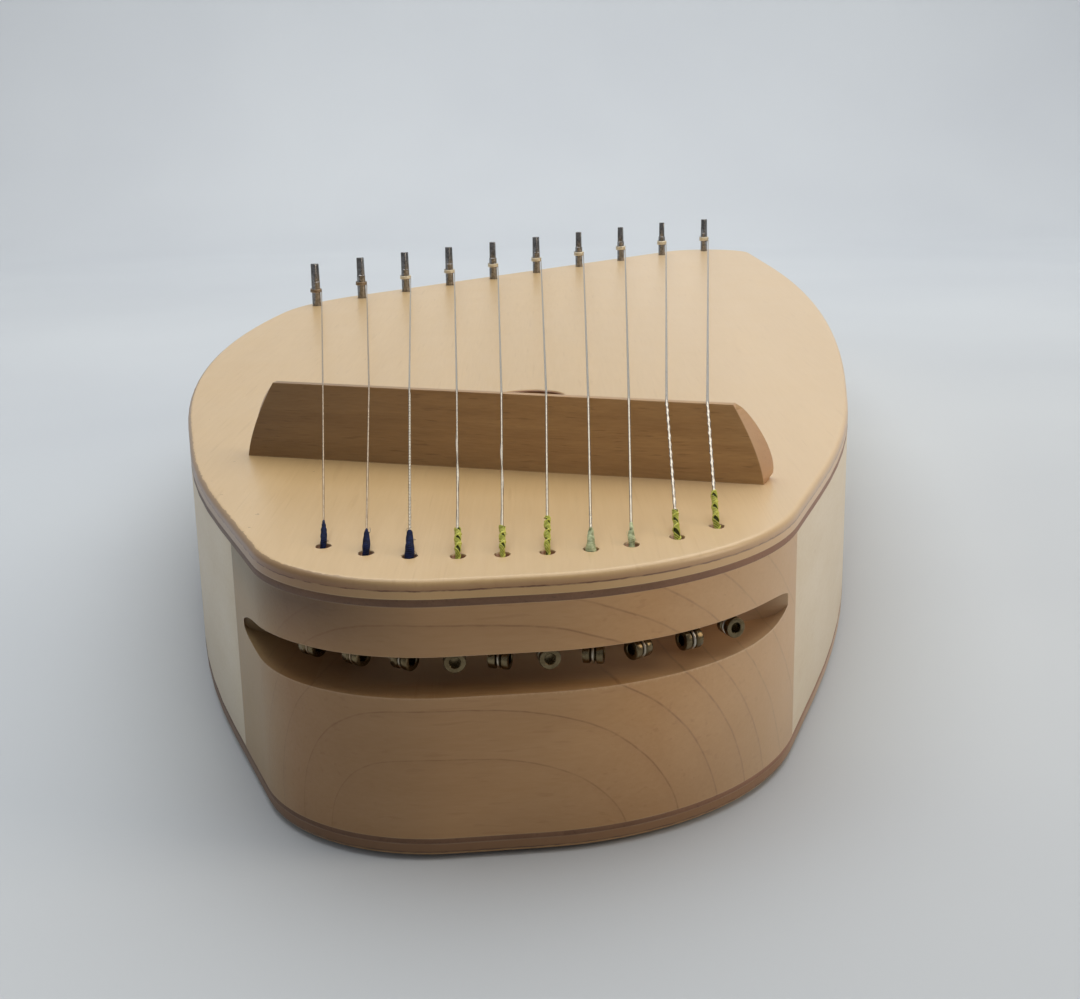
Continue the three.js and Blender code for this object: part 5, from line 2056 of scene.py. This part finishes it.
@dataclass
class Studio:
    """Camera, lamps, floor and backdrop."""

    camera_place: Triple = (-0.00689, -0.71542, 0.1707)
    camera_pitch: float = math.radians(14.4925)
    camera_roll: float = math.radians(-1.1664)
    lens: float = 48.341
    sensor: float = 36.0
    shift: float = -0.0088
    seen_from: float = 0.02
    seen_to: float = 50.0
    floor_colour: Colour = field(default_factory=lambda: colour(199, 204, 207))
    floor_shade: Colour = field(default_factory=lambda: colour(192, 197, 201))
    floor_start: float = -3.0
    floor_end: float = 1.2  # where it turns up into the backdrop
    half_width: float = 4.0
    turn_radius: float = 0.5
    backdrop_height: float = 3.0
    backdrop_glow: Colour = field(default_factory=lambda: colour(106, 108, 111))
    glow_far: Pair = (-0.2, 1.6)  # along Y, from where to where it grows
    glow_left: Fade = (-0.02, -0.25, 0.5)
    world_colour: Colour = field(default_factory=lambda: colour(232, 235, 240))
    world_strength: float = 0.3
    foot_gap: float = 0.001

    def camera(self) -> None:
        """Places the camera where the photograph was taken from."""
        pitch, roll = self.camera_pitch, self.camera_roll
        ahead = Vector((0, math.cos(pitch), -math.sin(pitch)))
        right, above = Vector((1, 0, 0)), Vector((0, math.sin(pitch), math.cos(pitch)))
        across = right * math.cos(roll) + above * math.sin(roll)
        upwards = above * math.cos(roll) - right * math.sin(roll)
        data = bpy.data.cameras.new("camera")
        data.lens, data.sensor_width, data.sensor_fit = self.lens, self.sensor, "HORIZONTAL"
        data.shift_y = self.shift
        data.clip_start, data.clip_end = self.seen_from, self.seen_to
        camera = bpy.data.objects.new("camera", data)
        turn = Matrix((across, upwards, -ahead)).transposed()
        camera.matrix_world = Matrix.Translation(self.camera_place) @ turn.to_4x4()
        bpy.context.scene.collection.objects.link(camera)
        bpy.context.scene.camera = camera

    def lamp(self, name: str, place: Sequence[float], target: Sequence[float], size: float,
             power: float, tint: Sequence[float] = (1.0, 1.0, 1.0)) -> None:
        """A square soft lamp.

        Args:
            name: its name.
            place: where it hangs.
            target: what it faces.
            size: its side.
            power: its power in watts.
            tint: its colour.
        """
        data = bpy.data.lights.new(name, "AREA")
        data.shape, data.size, data.energy, data.color = "SQUARE", size, power, tint
        lamp = bpy.data.objects.new(name, data)
        lamp.location = place
        way = Vector(target) - Vector(place)
        lamp.rotation_euler = way.to_track_quat("-Z", "Y").to_euler()
        bpy.context.scene.collection.objects.link(lamp)

    def paper(self) -> Material:
        """The floor's paper, with a glow far off and at the left that only the camera sees."""
        material, graph, shader = start_material("studio_paper")
        place = graph.place()
        x, y, _ = graph.axes(place)
        mottle = graph.band(graph.noise(place, 3.0, 2.0), 0.3, 0.7)
        rays = graph.add("LightPath").outputs
        seen = graph.clamp(graph.plus(rays["Is Camera Ray"], rays["Is Glossy Ray"]))
        start, stop = self.glow_far
        far = graph.add("MapRange", {"Value": y, "From Min": start, "From Max": stop},
                        interpolation_type="SMOOTHSTEP").outputs["Result"]
        lit = graph.times(seen, graph.most(far, graph.fade(x, self.glow_left)))
        graph.feed(shader, {
            "Base Color": graph.blend(mottle, self.floor_colour, self.floor_shade),
            "Emission Color": graph.blend(lit, (0.0, 0.0, 0.0, 1.0), self.backdrop_glow),
            "Emission Strength": 1.0, "Roughness": 0.7})
        return material

    def surroundings(self) -> None:
        """A pale floor that sweeps up into the backdrop."""
        bm = bmesh.new()
        level, side = -self.foot_gap, -self.half_width
        start = bm.verts.new((side, self.floor_start, level))
        bend = bm.verts.new((side, self.floor_end, level))
        bm.edges.new((start, bend))
        spun = bmesh.ops.spin(
            bm, geom=[bend], cent=(side, self.floor_end, self.turn_radius + level), axis=(1, 0, 0),
            angle=math.pi / 2, steps=16)
        last = verts_of(spun["geom_last"])[0]
        bm.edges.new((last, bm.verts.new(last.co + UP * self.backdrop_height)))
        lifted = bmesh.ops.extrude_edge_only(bm, edges=bm.edges[:])["geom"]
        bmesh.ops.translate(bm, verts=verts_of(lifted), vec=(self.half_width * 2, 0, 0))
        bmesh.ops.recalc_face_normals(bm, faces=bm.faces[:])
        floor = object_from("sweep", bm)
        smooth_over(floor)
        floor.data.materials.append(self.paper())

    def build(self) -> None:
        """Sets up the studio."""
        self.camera()
        self.surroundings()
        self.lamp("overhead", (0.1, 0.35, 1.5), (0.0, 0.0, 0.0), size=2.2, power=28.0)
        self.lamp("right_side", (1.2, -0.5, 0.6), (0.0, -0.25, 0.05), size=0.6, power=4.6,
                  tint=(1.0, 0.84, 0.66))
        world = bpy.data.worlds.new("world")
        world.use_nodes = True
        graph = Graph(world.node_tree)
        glow = graph.add("Background", {"Color": self.world_colour, "Strength": self.world_strength})
        graph.add("OutputWorld", {"Surface": glow.outputs[0]})
        bpy.context.scene.world = world
        bpy.context.scene.view_settings.view_transform = "Standard"
        log.info("studio ready")


def main() -> None:
    """Builds the studio and the kantele's sub-assemblies in order."""
    logging.basicConfig(level=logging.INFO, format="%(name)s: %(message)s")
    plan, levels, slot = Plan(), Levels(), Slot()
    strings = StringPlan(plan, levels, slot)
    finishes = Finishes()
    Studio().build()
    Body(plan, levels, slot, strings).build(finishes)
    Bridge(strings).build(finishes["walnut"])
    StringSet(strings).build(finishes)
    PinSet(strings).build(finishes)


if __name__ == "__main__":
    main()
